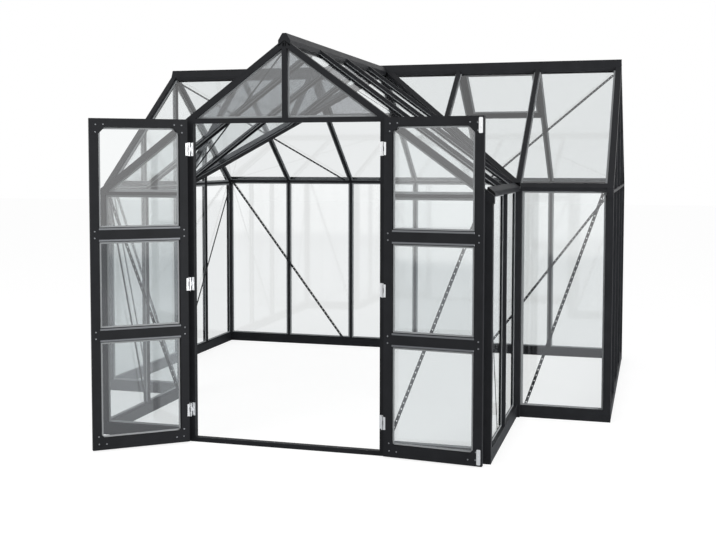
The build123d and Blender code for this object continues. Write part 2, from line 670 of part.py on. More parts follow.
with BuildPart() as valleys:
    for side in (-1, 1):
        valley_plane = Plane(
            origin=(side * PORCH_HALF, STEP_Y, EAVE_Z),
            x_dir=(-1, -side, 0),
            z_dir=(-side, 1, TAN),
        )
        with BuildSketch(valley_plane):
            Polygon(*VALLEY_SECTION, align=None)
            Polygon(*VALLEY_HOLLOW, align=None, mode=Mode.SUBTRACT)
        extrude(amount=VALLEY_LENGTH)
    with BuildSketch():
        for side in (-1, 1):
            with Locations((side * (PORCH_HALF + INNER + PAST), STEP_Y - INNER - PAST)):
                Rectangle(2 * PAST, 2 * PAST)
        with Locations((0, RIDGE_Y / 2)):
            Rectangle(2 * RIDGE_WING, RIDGE_Y)
        with Locations((0, RIDGE_Y + RIDGE_WING)):
            Rectangle(8 * RIDGE_WING, 4 * RIDGE_WING)
    extrude(amount=2 * RIDGE_Z, mode=Mode.SUBTRACT)

# Rafters: side view of each piece of the section, and half its width
CAP_END = RUN - EAVE_CAP_IN
RAFTER_PIECES = (
    (strip(RIDGE_FLANGE, RUN + INNER, INNER, INNER + BULB_T), BULB_W / 2, Mode.ADD),
    (strip(RIDGE_FLANGE, RUN + INNER, INNER, SEAT), WEB_T / 2, Mode.ADD),
    (strip(RIDGE_FLANGE, RUN + INNER, FLANGE_IN, SEAT), FLANGE_W / 2, Mode.ADD),
    (strip(RIDGE_WING, CAP_END, SEAT, CAP_IN), WEB_T / 2, Mode.ADD),
    (strip(RIDGE_WING, CAP_END, CAP_IN, CAP_OUT), CAP_W / 2, Mode.ADD),
    (strip(RIDGE_WING, CAP_END, CAP_IN + WALL, CAP_OUT - WALL), CAP_W / 2 - WALL, Mode.SUBTRACT),
)
VALLEY_REACH = VALLEY_CLEAR * math.sqrt(2)
VALLEY_STRIPS = [
    [
        (side * (PORCH_HALF + PAST), STEP_Y - PAST - VALLEY_REACH),
        (side * (PORCH_HALF + PAST), STEP_Y - PAST + VALLEY_REACH),
        (-side * PAST, RIDGE_Y + PAST + VALLEY_REACH),
        (-side * PAST, RIDGE_Y + PAST - VALLEY_REACH),
    ]
    for side in (-1, 1)
]

with BuildPart() as rafters_back:
    for bay in range(1, MAIN_BAYS_WIDE):
        for outline, half, mode in RAFTER_PIECES:
            with BuildSketch(Plane.YZ.offset(bay * BAY - MAIN_HALF)):
                Polygon(*[(RIDGE_Y + run, z) for run, z in outline], align=None)
            extrude(amount=half, both=True, mode=mode)

with BuildPart() as rafters_main_front:
    for x in (-PORCH_HALF, -BAY, BAY, PORCH_HALF):
        for outline, half, mode in RAFTER_PIECES:
            with BuildSketch(Plane.YZ.offset(x)):
                Polygon(*[(RIDGE_Y - run, z) for run, z in outline], align=None)
            extrude(amount=half, both=True, mode=mode)
    with BuildSketch():
        for outline in VALLEY_STRIPS:
            Polygon(*outline, align=None)
        Polygon((-PORCH_HALF, STEP_Y), (PORCH_HALF, STEP_Y), (0, RIDGE_Y), align=None)
        Polygon(*rectangle(-PORCH_HALF, PORCH_HALF, STEP_Y - PAST, STEP_Y), align=None)
    extrude(amount=2 * RIDGE_Z, mode=Mode.SUBTRACT)

with BuildPart() as rafters_porch:
    for side in (-1, 1):
        for y in (BAY, STEP_Y, STEP_Y + BAY):
            for outline, half, mode in RAFTER_PIECES:
                with BuildSketch(Plane.XZ.offset(-y)):
                    Polygon(*[(side * run, z) for run, z in outline], align=None)
                extrude(amount=half, both=True, mode=mode)
    with BuildSketch():
        for side, outline in zip((-1, 1), VALLEY_STRIPS):
            Polygon(*outline, align=None)
            Polygon(
                (side * PORCH_HALF, STEP_Y),
                (side * (PORCH_HALF + PAST), STEP_Y),
                (side * (PORCH_HALF + PAST), RIDGE_Y),
                (0, RIDGE_Y),
                align=None,
            )
    extrude(amount=2 * RIDGE_Z, mode=Mode.SUBTRACT)


# Diagonal braces
def strap(x0, y0, x1, y1):
    """Draws a strap between two points of a plane."""
    length = math.hypot(x1 - x0, y1 - y0)
    dx = (x1 - x0) / length * STRAP_W / 2
    dy = (y1 - y0) / length * STRAP_W / 2
    Polygon((x0 - dy, y0 + dx), (x0 + dy, y0 - dx), (x1 + dy, y1 - dx), (x1 - dy, y1 + dx), align=None)


MAIN_STRAP = MAIN_HALF - STRAP_INSET
BACK_STRAP = BACK_Y - STRAP_INSET
PORCH_STRAP = PORCH_HALF - STRAP_INSET
JAMB_STRAP = JAMB_OUT - STRAP_W / 2

with BuildPart() as braces_walls:
    with BuildSketch(Plane.XZ.offset(-(BACK_Y + INNER))):
        for side in (-1, 1):
            strap(side * MAIN_STRAP, STRAP_TOP, side * (BAY + STRAP_INSET), STRAP_FOOT)
    extrude(amount=STRAP_T)
    with BuildSketch(Plane.XZ.offset(INNER)):
        for side in (-1, 1):
            strap(side * PORCH_STRAP, STRAP_GABLE_TOP, side * JAMB_STRAP, STRAP_FOOT)
    extrude(amount=-STRAP_T)
    with BuildSketch(Plane.XZ.offset(-STEP_Y + INNER)):
        for side in (-1, 1):
            strap(side * MAIN_STRAP, STRAP_TOP, side * (PORCH_HALF + STRAP_INSET), STRAP_FOOT)
    extrude(amount=-STRAP_T)
    for side in (-1, 1):
        with BuildSketch(Plane.YZ.offset(side * (MAIN_HALF + INNER))):
            strap(BACK_STRAP, STRAP_GABLE_TOP, RIDGE_Y + STRAP_INSET, STRAP_FOOT)
            strap(STEP_Y + STRAP_INSET, STRAP_GABLE_TOP, STEP_Y + BAY - STRAP_INSET, STRAP_FOOT)
        extrude(amount=-side * STRAP_T)
        with BuildSketch(Plane.YZ.offset(side * (PORCH_HALF + INNER))):
            strap(STRAP_INSET, STRAP_TOP, BAY - STRAP_INSET, STRAP_FOOT)
        extrude(amount=-side * STRAP_T)


def slope_plane(x, y, inward, offset):
    """Plane of a roof slope from its eave line: local y runs up the slope, normal outwards."""
    up = Vector(inward[0] * COS, inward[1] * COS, SIN)
    normal = Vector(-inward[0] * SIN, -inward[1] * SIN, COS)
    return Plane(origin=Vector(x, y, EAVE_Z) + normal * offset, x_dir=up.cross(normal), z_dir=normal)


def back_slope(offset):
    """Plane of the back roof slope of the main house."""
    return slope_plane(0, BACK_Y, FRONT, offset)


with BuildPart() as braces_roof:
    with BuildSketch(back_slope(INNER)):
        for side in (-1, 1):
            strap(side * MAIN_STRAP, ROOF_STRAP_TOP, side * (BAY + STRAP_INSET), ROOF_STRAP_FOOT)
    extrude(amount=-STRAP_T)
    for side in (-1, 1):
        with BuildSketch(slope_plane(side * PORCH_HALF, 0, (-side, 0), INNER)):
            strap(side * 2 * STRAP_INSET, ROOF_STRAP_TOP, side * (STEP_Y - 2 * STRAP_INSET), ROOF_STRAP_FOOT)
        extrude(amount=-STRAP_T)

# Glass
GLASS_Z0 = BASE_H - GROOVE
GLASS_Z1 = EAVE_UNDER + GROOVE - 1
VERGE_EDGE = VERGE_IN - GROOVE + WALL + 1
JUNCTION_EDGE = JUNCTION_FACE - JUNCTION_GROOVE + 1


def verge_notch(at, inward):
    """Cuts the corner off a pane under the low end of a sloping gable bar at the position `at`."""
    reach = at + inward * (VERGE_IN + 1)
    low_z = roof_z(RUN + CAP_IN, -VERGE_DEPTH) - 1
    Polygon(*rectangle(min(at, reach), max(at, reach), low_z, EAVE_Z), align=None, mode=Mode.SUBTRACT)


with BuildPart() as glass_back:
    with BuildSketch(Plane.XZ.offset(-BACK_Y - SEAT - GLASS_T)):
        for bay in range(MAIN_BAYS_WIDE):
            x0 = bay * BAY - MAIN_HALF + (EDGE if bay > 0 else CORNER_EDGE)
            x1 = (bay + 1) * BAY - MAIN_HALF - (EDGE if bay < MAIN_BAYS_WIDE - 1 else CORNER_EDGE)
            Polygon(*rectangle(x0, x1, GLASS_Z0, GLASS_Z1), align=None)
        for side in (-1, 1):
            verge_notch(side * MAIN_HALF, -side)
    extrude(amount=GLASS_T)

with BuildPart() as glass_wings:
    with BuildSketch(Plane.XZ.offset(-STEP_Y + SEAT)):
        for side in (-1, 1):
            x0, x1 = sorted((side * (PORCH_HALF + JUNCTION_EDGE), side * (MAIN_HALF - CORNER_EDGE)))
            Polygon(*rectangle(x0, x1, GLASS_Z0, GLASS_Z1), align=None)
            verge_notch(side * MAIN_HALF, -side)
    extrude(amount=GLASS_T)

with BuildPart() as glass_porch:
    for side in (-1, 1):
        with BuildSketch(Plane.YZ.offset(side * (PORCH_HALF + SEAT))):
            Polygon(*rectangle(CORNER_EDGE, BAY - EDGE, GLASS_Z0, GLASS_Z1), align=None)
            Polygon(*rectangle(BAY + EDGE, STEP_Y - JUNCTION_EDGE, GLASS_Z0, GLASS_Z1), align=None)
            verge_notch(0, 1)
        extrude(amount=side * GLASS_T)

RIDGE_FOOT = rectangle(-CAP_W / 2, CAP_W / 2, RIDGE_Z - RIDGE_DEPTH - 1, RIDGE_Z)
GABLE_GLASS_CUT = strip(0, RUN + PAST, GROOVE - 1 - VERGE_DEPTH, RUN)

with BuildPart() as glass_gables:
    for side in (-1, 1):
        with BuildSketch(Plane.YZ.offset(side * (MAIN_HALF + SEAT))):
            for bay in range(MAIN_BAYS_DEEP):
                y0 = STEP_Y + bay * BAY + (EDGE if bay > 0 else CORNER_EDGE)
                y1 = STEP_Y + (bay + 1) * BAY - (EDGE if bay < MAIN_BAYS_DEEP - 1 else CORNER_EDGE)
                Polygon(*rectangle(y0, y1, GLASS_Z0, TIE_Z - TIE_EDGE), align=None)
                Polygon(*rectangle(y0, y1, TIE_Z + TIE_EDGE, RIDGE_Z), align=None)
            for slope_side in (-1, 1):
                cut = [(RIDGE_Y + slope_side * run, z) for run, z in GABLE_GLASS_CUT]
                Polygon(*cut, align=None, mode=Mode.SUBTRACT)
            Polygon(*[(RIDGE_Y + run, z) for run, z in RIDGE_FOOT], align=None, mode=Mode.SUBTRACT)
        extrude(amount=side * GLASS_T)

with BuildPart() as glass_front:
    with BuildSketch(Plane.XZ.offset(SEAT)):
        for side in (-1, 1):
            x0, x1 = sorted((side * (JAMB_OUT - JAMB_EDGE), side * (PORCH_HALF - CORNER_EDGE)))
            Polygon(*rectangle(x0, x1, GLASS_Z0, TIE_Z - TIE_EDGE), align=None)
            Polygon(*rectangle(x0, x1, TIE_Z + TIE_EDGE, RIDGE_Z), align=None)
            x0, x1 = sorted((side * EDGE, side * JAMB_IN))
            Polygon(*rectangle(x0, x1, HEADER_TOP_Z - GROOVE + 1, RIDGE_Z), align=None)
            Polygon(*[(side * run, z) for run, z in GABLE_GLASS_CUT], align=None, mode=Mode.SUBTRACT)
        Polygon(*RIDGE_FOOT, align=None, mode=Mode.SUBTRACT)
    extrude(amount=GLASS_T)


def roof_bay(bay):
    """Ends of a main roof pane along X: in a slot at a gable, just short of a bar's web elsewhere."""
    x0 = bay * BAY - MAIN_HALF + (EDGE if bay > 0 else VERGE_EDGE)
    x1 = (bay + 1) * BAY - MAIN_HALF - (EDGE if bay < MAIN_BAYS_WIDE - 1 else VERGE_EDGE)
    return x0, x1


with BuildPart() as glass_roof_back:
    with BuildSketch(back_slope(SEAT)):
        for bay in range(MAIN_BAYS_WIDE):
            top = VENT_SILL_T - TIE_EDGE if bay in VENT_BAYS else GLASS_T1
            Polygon(*[(-x, t) for x, t in rectangle(*roof_bay(bay), GLASS_T0, top)], align=None)
    extrude(amount=GLASS_T)

with BuildPart() as glass_roof_main:
    with BuildSketch(slope_plane(0, STEP_Y, REAR, SEAT)):
        for bay in range(MAIN_BAYS_WIDE):
            Polygon(*rectangle(*roof_bay(bay), GLASS_T0, GLASS_T1), align=None)
        Polygon(
            (-PORCH_HALF, -BAY),
            (PORCH_HALF, -BAY),
            (PORCH_HALF, VALLEY_GAP),
            (0, SLOPE + VALLEY_GAP),
            (-PORCH_HALF, VALLEY_GAP),
            align=None,
            mode=Mode.SUBTRACT,
        )
        Polygon(*rectangle(-RIDGE_CUT, RIDGE_CUT, 0, SLOPE), align=None, mode=Mode.SUBTRACT)
        for side in (-1, 1):
            with Locations((side * (PORCH_HALF + EAVE_OUT / 2), 0)):
                Rectangle(EAVE_OUT + NOTCH_CLEAR, 4 * EAVE_OUT, mode=Mode.SUBTRACT)
    extrude(amount=GLASS_T)

with BuildPart() as glass_roof_porch:
    for side in (-1, 1):
        with BuildSketch(slope_plane(side * PORCH_HALF, 0, (-side, 0), SEAT)):
            for bay in range(MAIN_BAYS_DEEP):
                y0 = bay * BAY + (EDGE if bay > 0 else VERGE_EDGE)
                x0, x1 = sorted((side * y0, side * ((bay + 1) * BAY - EDGE)))
                Polygon(*rectangle(x0, x1, GLASS_T0, GLASS_T1), align=None)
            Polygon(
                (side * STEP_Y, -BAY),
                (side * STEP_Y, VALLEY_GAP),
                (side * RIDGE_Y, SLOPE + VALLEY_GAP),
                (side * (RIDGE_Y + BAY), SLOPE),
                (side * (RIDGE_Y + BAY), -BAY),
                align=None,
                mode=Mode.SUBTRACT,
            )
            with Locations((side * RIDGE_Y, SLOPE)):
                Rectangle(2 * RIDGE_CUT, 4 * RIDGE_WING, mode=Mode.SUBTRACT)
        extrude(amount=GLASS_T)

# Roof vents
SASH_LONG = BAY - 2 * SASH_GAP
VENT_PLACES = [(MAIN_HALF - (bay + 0.5) * BAY, (VENT_SILL_T + VENT_TOP_T) / 2) for bay in VENT_BAYS]

# Frame-shaped pieces of a sash: lower and upper face, insets of the outer and inner edges
SASH_RINGS = (
    (SASH_LOW, SASH_HIGH, 0, SASH_W, Mode.ADD),
    (SASH_GLASS, SASH_GLASS + GLASS_T + 1, SASH_W - SASH_GROOVE, SASH_W, Mode.SUBTRACT),
    (SASH_LOW, SASH_HIGH - WALL, WALL, SASH_W - SASH_LIP, Mode.SUBTRACT),
)


with BuildPart() as vent_sills:
    for half_t, low, high in (
        (WEB_T / 2, INNER + WALL, SASH_LOW),
        (TIE_H / 2, FLANGE_IN, SEAT),
        (TIE_H / 2, SASH_LOW - WALL, SASH_LOW),
    ):
        with BuildSketch(back_slope(low)):
            with Locations(*[(x, VENT_SILL_T) for x, t in VENT_PLACES]):
                Rectangle(BAY - CAP_W, 2 * half_t)
        extrude(amount=high - low)

with BuildPart() as vent_sashes:
    for low, high, outer, inner, mode in SASH_RINGS:
        with BuildSketch(back_slope(low)):
            with Locations(*VENT_PLACES):
                Rectangle(SASH_LONG - 2 * outer, VENT_LENGTH - 2 * outer)
                Rectangle(SASH_LONG - 2 * inner, VENT_LENGTH - 2 * inner, mode=Mode.SUBTRACT)
        extrude(amount=high - low, mode=mode)

with BuildPart() as vent_glass:
    pane_inset = SASH_W - SASH_GROOVE + 1
    with BuildSketch(back_slope(SASH_GLASS)):
        with Locations(*VENT_PLACES):
            Rectangle(SASH_LONG - 2 * pane_inset, VENT_LENGTH - 2 * pane_inset)
    extrude(amount=GLASS_T)

# Door leaves, drawn in their own planes with local x along the leaf from the hinge axis and local y up
LEFT_ANGLE = math.radians(-LEAF_OPEN_LEFT)
RIGHT_ANGLE = math.radians(180 + LEAF_OPEN_RIGHT)
STILE_IN0 = LEAF_U0 + STILE_W
STILE_IN1 = LEAF_U1 - STILE_W
RAILS_Z = (
    (LEAF_Z0, LEAF_Z0 + BOTTOM_RAIL_H),
    (MID_RAILS_Z[0] - MID_RAIL_H / 2, MID_RAILS_Z[0] + MID_RAIL_H / 2),
    (MID_RAILS_Z[1] - MID_RAIL_H / 2, MID_RAILS_Z[1] + MID_RAIL_H / 2),
    (LEAF_Z1 - TOP_RAIL_H, LEAF_Z1),
)
SLOT_T = GLASS_T + 1


def stile_section():
    """Draws both stiles of a leaf from below, with the glass slots in their inner edges."""
    for u0, u1, slot_u in (
        (LEAF_U0, STILE_IN0, STILE_IN0 - LEAF_GROOVE / 2),
        (STILE_IN1, LEAF_U1, STILE_IN1 + LEAF_GROOVE / 2),
    ):
        with Locations(((u0 + u1) / 2, 0)):
            Rectangle(u1 - u0, LEAF_T)
        with Locations((slot_u, 0)):
            Rectangle(LEAF_GROOVE, SLOT_T, mode=Mode.SUBTRACT)
        hollow_u = slot_u + (-1 if u0 == LEAF_U0 else 1) * (STILE_W / 2 - LEAF_GROOVE / 2 + WALL / 2)
        with Locations((hollow_u, 0)):
            Rectangle(STILE_W - LEAF_GROOVE - 3 * WALL, LEAF_T - 2 * WALL, mode=Mode.SUBTRACT)


def rails_section():
    """Side view of all four rails across the leaf's thickness, with their glass slots."""
    for z0, z1 in RAILS_Z:
        Polygon(*rectangle(-LEAF_T / 2, LEAF_T / 2, z0, z1), align=None)
        for slot0, slot1 in ((z0, z0 + LEAF_GROOVE), (z1 - LEAF_GROOVE, z1)):
            if slot0 > LEAF_Z0 and slot1 < LEAF_Z1:
                Polygon(*rectangle(-SLOT_T / 2, SLOT_T / 2, slot0, slot1), align=None, mode=Mode.SUBTRACT)
        hollow = LEAF_GROOVE + WALL
        Polygon(
            *rectangle(WALL - LEAF_T / 2, LEAF_T / 2 - WALL, z0 + hollow, z1 - hollow),
            align=None,
            mode=Mode.SUBTRACT,
        )


def leaf_panes():
    """Three panes of a leaf, each reaching into the slots round it."""
    u0 = STILE_IN0 - LEAF_GROOVE + 1
    u1 = STILE_IN1 + LEAF_GROOVE - 1
    for (low0, low1), (high0, high1) in zip(RAILS_Z, RAILS_Z[1:]):
        Polygon(*rectangle(u0, u1, low1 - LEAF_GROOVE, high0 + LEAF_GROOVE - 1), align=None)


def leaf_knuckle():
    """Plan of the leaf's half of a hinge: a round barrel and the plate that joins it to the stile."""
    Circle(BARREL_R)
    with Locations((LEAF_U0 / 2, 0)):
        Rectangle(LEAF_U0, HINGE_LEAF_T)


def leaf_base(side, angle):
    """Level plane at the foot of a leaf: local x runs along the leaf from the hinge axis."""
    return Plane(
        origin=(side * HINGE_X, -HINGE_OUT, LEAF_Z0),
        x_dir=(math.cos(angle), math.sin(angle), 0),
        z_dir=(0, 0, 1),
    )


def leaf_cross(side, angle, along):
    """Upright plane across a leaf's thickness, at a distance along it from the hinge axis."""
    return Plane(
        origin=(
            side * HINGE_X + along * math.cos(angle),
            -HINGE_OUT + along * math.sin(angle),
            0,
        ),
        x_dir=(-math.sin(angle), math.cos(angle), 0),
        z_dir=(math.cos(angle), math.sin(angle), 0),
    )


def leaf_face(side, angle, across):
    """Upright plane along a leaf, at a distance across its thickness: local y points up."""
    return Plane(
        origin=(
            side * HINGE_X + across * math.sin(angle),
            -HINGE_OUT - across * math.cos(angle),
            0,
        ),
        x_dir=(math.cos(angle), math.sin(angle), 0),
        z_dir=(math.sin(angle), -math.cos(angle), 0),
    )


with BuildPart() as leaf_left_stiles:
    with BuildSketch(leaf_base(-1, LEFT_ANGLE)):
        stile_section()
    extrude(amount=LEAF_Z1 - LEAF_Z0)

with BuildPart() as leaf_left_rails:
    with BuildSketch(leaf_cross(-1, LEFT_ANGLE, STILE_IN0)):
        rails_section()
    extrude(amount=STILE_IN1 - STILE_IN0)

with BuildPart() as leaf_left_glass:
    with BuildSketch(leaf_face(-1, LEFT_ANGLE, -GLASS_T / 2)):
        leaf_panes()
    extrude(amount=GLASS_T)

with BuildPart() as leaf_left_hinges:
    for hinge_z in HINGES_Z:
        with BuildSketch(leaf_base(-1, LEFT_ANGLE).offset(hinge_z - LEAF_Z0 - HINGE_HALF)):
            leaf_knuckle()
        extrude(amount=2 * HINGE_HALF)
        with BuildSketch(leaf_base(-1, LEFT_ANGLE).offset(hinge_z - LEAF_Z0 - BARREL_H / 2 - BARREL_GAP)):
            Rectangle(BARREL_SPACE, BARREL_SPACE)
            Circle(PIN_R, mode=Mode.SUBTRACT)
        extrude(amount=BARREL_H + 2 * BARREL_GAP, mode=Mode.SUBTRACT)

with BuildPart() as leaf_right_stiles:
    with BuildSketch(leaf_base(1, RIGHT_ANGLE)):
        stile_section()
    extrude(amount=LEAF_Z1 - LEAF_Z0)

with BuildPart() as leaf_right_rails:
    with BuildSketch(leaf_cross(1, RIGHT_ANGLE, STILE_IN0)):
        rails_section()
    extrude(amount=STILE_IN1 - STILE_IN0)

with BuildPart() as leaf_right_glass:
    with BuildSketch(leaf_face(1, RIGHT_ANGLE, -GLASS_T / 2)):
        leaf_panes()
    extrude(amount=GLASS_T)

with BuildPart() as leaf_right_hinges:
    for hinge_z in HINGES_Z:
        with BuildSketch(leaf_base(1, RIGHT_ANGLE).offset(hinge_z - LEAF_Z0 - HINGE_HALF)):
            leaf_knuckle()
        extrude(amount=2 * HINGE_HALF)
        with BuildSketch(leaf_base(1, RIGHT_ANGLE).offset(hinge_z - LEAF_Z0 - BARREL_H / 2 - BARREL_GAP)):
            Rectangle(BARREL_SPACE, BARREL_SPACE)
            Circle(PIN_R, mode=Mode.SUBTRACT)
        extrude(amount=BARREL_H + 2 * BARREL_GAP, mode=Mode.SUBTRACT)

# Fixed halves of the hinges, on the jambs
with BuildPart() as hinge_plates:
    for side in (-1, 1):
        for hinge_z in HINGES_Z:
            with BuildSketch(Plane.XY.offset(hinge_z - HINGE_HALF)):
                with Locations((side * HINGE_X, -CAP_OUT - HINGE_PLATE_T / 2)):
                    Rectangle(HINGE_PLATE_W, HINGE_PLATE_T)
            extrude(amount=2 * HINGE_HALF)
            with BuildSketch(Plane.XY.offset(hinge_z - BARREL_H / 2)):
                with Locations((side * HINGE_X, -(CAP_OUT + HINGE_OUT) / 2)):
                    Rectangle(HINGE_LEAF_T, HINGE_OUT - CAP_OUT)
                with Locations((side * HINGE_X, -HINGE_OUT)):
                    Circle(BARREL_R)
                    Circle(PIN_R + PIN_CLEAR, mode=Mode.SUBTRACT)
            extrude(amount=BARREL_H)

PARTS = {
    "base_rails_x": base_rails_x,
    "base_rails_y": base_rails_y,
    "threshold": threshold,
    "corner_posts": corner_posts,
    "junction_posts": junction_posts,
    "jambs": jambs,
    "header": header,
    "king_post": king_post,
    "bars_back": bars_back,
    "bars_porch": bars_porch,
    "bars_gables": bars_gables,
    "ties": ties,
    "eaves_main": eaves_main,
    "eaves_porch": eaves_porch,
    "verge_front": verge_front,
    "verges_main": verges_main,
    "ridge_main": ridge_main,
    "ridge_porch": ridge_porch,
    "ridge_caps": ridge_caps,
    "valleys": valleys,
    "rafters_back": rafters_back,
    "rafters_main_front": rafters_main_front,
    "rafters_porch": rafters_porch,
    "braces_walls": braces_walls,
    "braces_roof": braces_roof,
    "glass_back": glass_back,
    "glass_wings": glass_wings,
    "glass_porch": glass_porch,
    "glass_gables": glass_gables,
    "glass_front": glass_front,
    "glass_roof_back": glass_roof_back,
    "glass_roof_main": glass_roof_main,
    "glass_roof_porch": glass_roof_porch,
    "vent_sills": vent_sills,
    "vent_sashes": vent_sashes,
    "vent_glass": vent_glass,
    "hinge_plates": hinge_plates,
    "leaf_left_stiles": leaf_left_stiles,
    "leaf_left_rails": leaf_left_rails,
    "leaf_left_glass": leaf_left_glass,
    "leaf_left_hinges": leaf_left_hinges,
    "leaf_right_stiles": leaf_right_stiles,
    "leaf_right_rails": leaf_right_rails,
    "leaf_right_glass": leaf_right_glass,
    "leaf_right_hinges": leaf_right_hinges,
}
for name, builder in PARTS.items():
    builder.part.label = name
    export_step(builder.part, f"parts/{name}.step")
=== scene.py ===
"""Looks of a T-shaped glass greenhouse: black powder-coated bars, clear panes, hinged double doors.

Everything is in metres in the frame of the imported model: X right, Y from the door to the back wall,
Z up.
"""
import json
import math

import bmesh
import bpy
import numpy as np
from mathutils.geometry import convex_hull_2d
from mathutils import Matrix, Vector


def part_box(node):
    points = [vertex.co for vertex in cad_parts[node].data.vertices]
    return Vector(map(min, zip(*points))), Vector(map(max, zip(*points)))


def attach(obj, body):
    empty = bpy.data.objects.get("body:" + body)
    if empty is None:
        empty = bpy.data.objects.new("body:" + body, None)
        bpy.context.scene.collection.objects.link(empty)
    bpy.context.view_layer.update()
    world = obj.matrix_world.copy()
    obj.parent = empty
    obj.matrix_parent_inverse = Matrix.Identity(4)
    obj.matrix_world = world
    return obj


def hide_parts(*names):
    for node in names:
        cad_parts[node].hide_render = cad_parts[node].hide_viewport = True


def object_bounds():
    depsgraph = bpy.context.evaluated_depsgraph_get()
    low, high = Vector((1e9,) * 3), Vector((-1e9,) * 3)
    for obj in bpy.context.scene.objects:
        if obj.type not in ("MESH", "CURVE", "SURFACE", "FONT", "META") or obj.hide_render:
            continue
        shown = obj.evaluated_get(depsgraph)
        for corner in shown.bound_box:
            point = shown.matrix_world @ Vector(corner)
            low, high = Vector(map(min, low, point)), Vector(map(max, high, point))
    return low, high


bl_info = {
    "name": "Glass Greenhouse Finish",
    "version": (1, 0, 0),
    "blender": (4, 5, 0),
    "location": "3D View > Sidebar > Greenhouse",
    "description": "Finishes, seals, fixings and studio stage of a T-shaped glass greenhouse",
    "category": "Object",
}

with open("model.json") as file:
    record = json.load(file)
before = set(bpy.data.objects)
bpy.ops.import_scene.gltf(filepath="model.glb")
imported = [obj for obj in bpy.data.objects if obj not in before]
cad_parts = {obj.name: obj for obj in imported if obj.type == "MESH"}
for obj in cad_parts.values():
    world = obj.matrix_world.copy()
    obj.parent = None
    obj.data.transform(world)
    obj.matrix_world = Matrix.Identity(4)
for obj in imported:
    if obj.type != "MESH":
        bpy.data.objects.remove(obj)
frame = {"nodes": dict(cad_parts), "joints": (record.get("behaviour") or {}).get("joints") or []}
CAD_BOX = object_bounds()

HINGE_NODES = ("hinge_plates", "leaf_left_hinges", "leaf_right_hinges")
HOUSE_PANES = (
    "glass_back", "glass_wings", "glass_porch", "glass_gables", "glass_front",
    "glass_roof_back", "glass_roof_main", "glass_roof_porch", "vent_glass",
)
LEAVES = ("left", "right")
UP = np.array([0.0, 0.0, 1.0])
# Middle of the model's box, on the ground
MIDDLE = np.array([0.0, (CAD_BOX[0][1] + CAD_BOX[1][1]) / 2, 0.0])
# Points closer than these lie in one plane, or are welded into one point
SAME_PLANE, WELD = 0.0005, 0.000002
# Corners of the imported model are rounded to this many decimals, 0.01 mm, before they are compared
CORNER_DECIMALS = 5

# Share of light that a pane gives back as sheen, seen square on and almost along it, and what
# Fresnel gives square on
SHEEN_SQUARE, SHEEN_SLANT, FRESNEL_SQUARE = 0.18, 0.45, 0.04
# The front gable panes, whose glass carries a painted shade, lie above a line this far under the
# header's top, and ahead of this Y
GABLE_UNDER, GABLE_AHEAD = 0.02, 0.05

# Glazing tape: height of its foot and of its inner shoulder as shares of its height
TAPE_FOOT, TAPE_SHOULDER = 0.1, 0.6
# Gaskets: distance from the pane's edge, height of the foot, then the shoulder's height and the
# crown's width as shares
GASKET_INSET, GASKET_FOOT, GASKET_SHOULDER, GASKET_CROWN = 0.008, 0.0002, 0.55, 0.6
# Chamfers of moulded and anodised parts, and of pressed plates
FINE_CHAMFER, PLATE_CHAMFER = 0.0005, 0.0006
# Gussets: distance from the leaf's corner, where the long side starts and the screws' places, the
# last two as shares of a leg
GUSSET_INSET, GUSSET_CUT = 0.004, 0.5
GUSSET_SCREWS = np.array([(0.36, 0.36), (0.85, 0.34), (0.34, 0.85)])
# Leaf screws: their radius as a share of a frame screw's, and their distance from a rail's middle
LEAF_SCREW, RAIL_SCREW = 0.8, 0.02
# Hinge cover plates: width, half the height and distance from the leaf's edge
COVER_WIDTH, COVER_HALF, COVER_INSET = 0.012, 0.038, 0.001
# Flush bolts: offset from the stile's middle, cut of the corners and distance from the leaf's end
BOLT_OFFSET, BOLT_CORNER, BOLT_END = 0.006, 0.004, 0.008
# Flush bolts: thickness and chamfer of the plate and of the slide, and the slide's sides as shares
# of the plate's
BOLT_PLATE, BOLT_SLIDE, SLIDE_SIDES = (0.002, 0.0007), (0.004, 0.0012), (0.4, 0.28)
# A button-head screw from the middle of its foot over rim and dome into the drive recess, as shares
# of its radius and height, and how many steps it is turned in
BUTTON_PROFILE = np.array([(0.0, -0.1), (1.0, -0.1), (1.0, 0.25), (0.86, 0.72), (0.62, 0.97),
                           (0.42, 1.0), (0.36, 0.45), (0.0, 0.4)])
BUTTON_SEGMENTS = 10
# Frame screws: distance from a post's foot and top, from a bar's ends and from a ridge cap's
# middle, and from a rail's ends as a share of its length
POST_FOOT, POST_TOP, BAR_END, CAP_OFFSET, RAIL_END = 0.04, 0.03, 0.03, 0.02, 0.06

# Floor: half its width, its front edge, its own light, and its tones when lit and in gloss
FLOOR_REACH, FLOOR_FRONT, FLOOR_GLOW = 40.0, -12.0, 0.8
FLOOR_MATT, FLOOR_MIRRORED, WHITE = "#9A9A9A", "#989CA1", "#FFFFFF"
# Light from the studio's ceiling and walls: the ceiling is dimmer than the walls and starts at this
# slope, and both are brighter in gloss than on matt surfaces
CEILING, WALLS, CEILING_START = 0.6, 0.75, 0.1
# Name, power in watts, size in metres, place, tilt from straight down and heading in degrees
SOFTBOXES = (
    ("softbox_key", 300.0, 5.0, (-4.0, -6.0, 7.0), 42, -34),
    ("softbox_fill", 400.0, 3.0, (7.5, -2.0, 1.6), 88, 75),
)
# Camera: lens and sensor in millimetres, shift as a share of the frame, place, then its dip below
# level and its turn to the left in radians
LENS, SENSOR, SHIFT = 54.875, 36.0, (0.03296, -0.0606)
EYE, DIP, TURN = (2.1436, -6.2169, 1.7414), 0.059, 0.2869
# Faces of panes that a ray may pass
PANE_FACES = 40


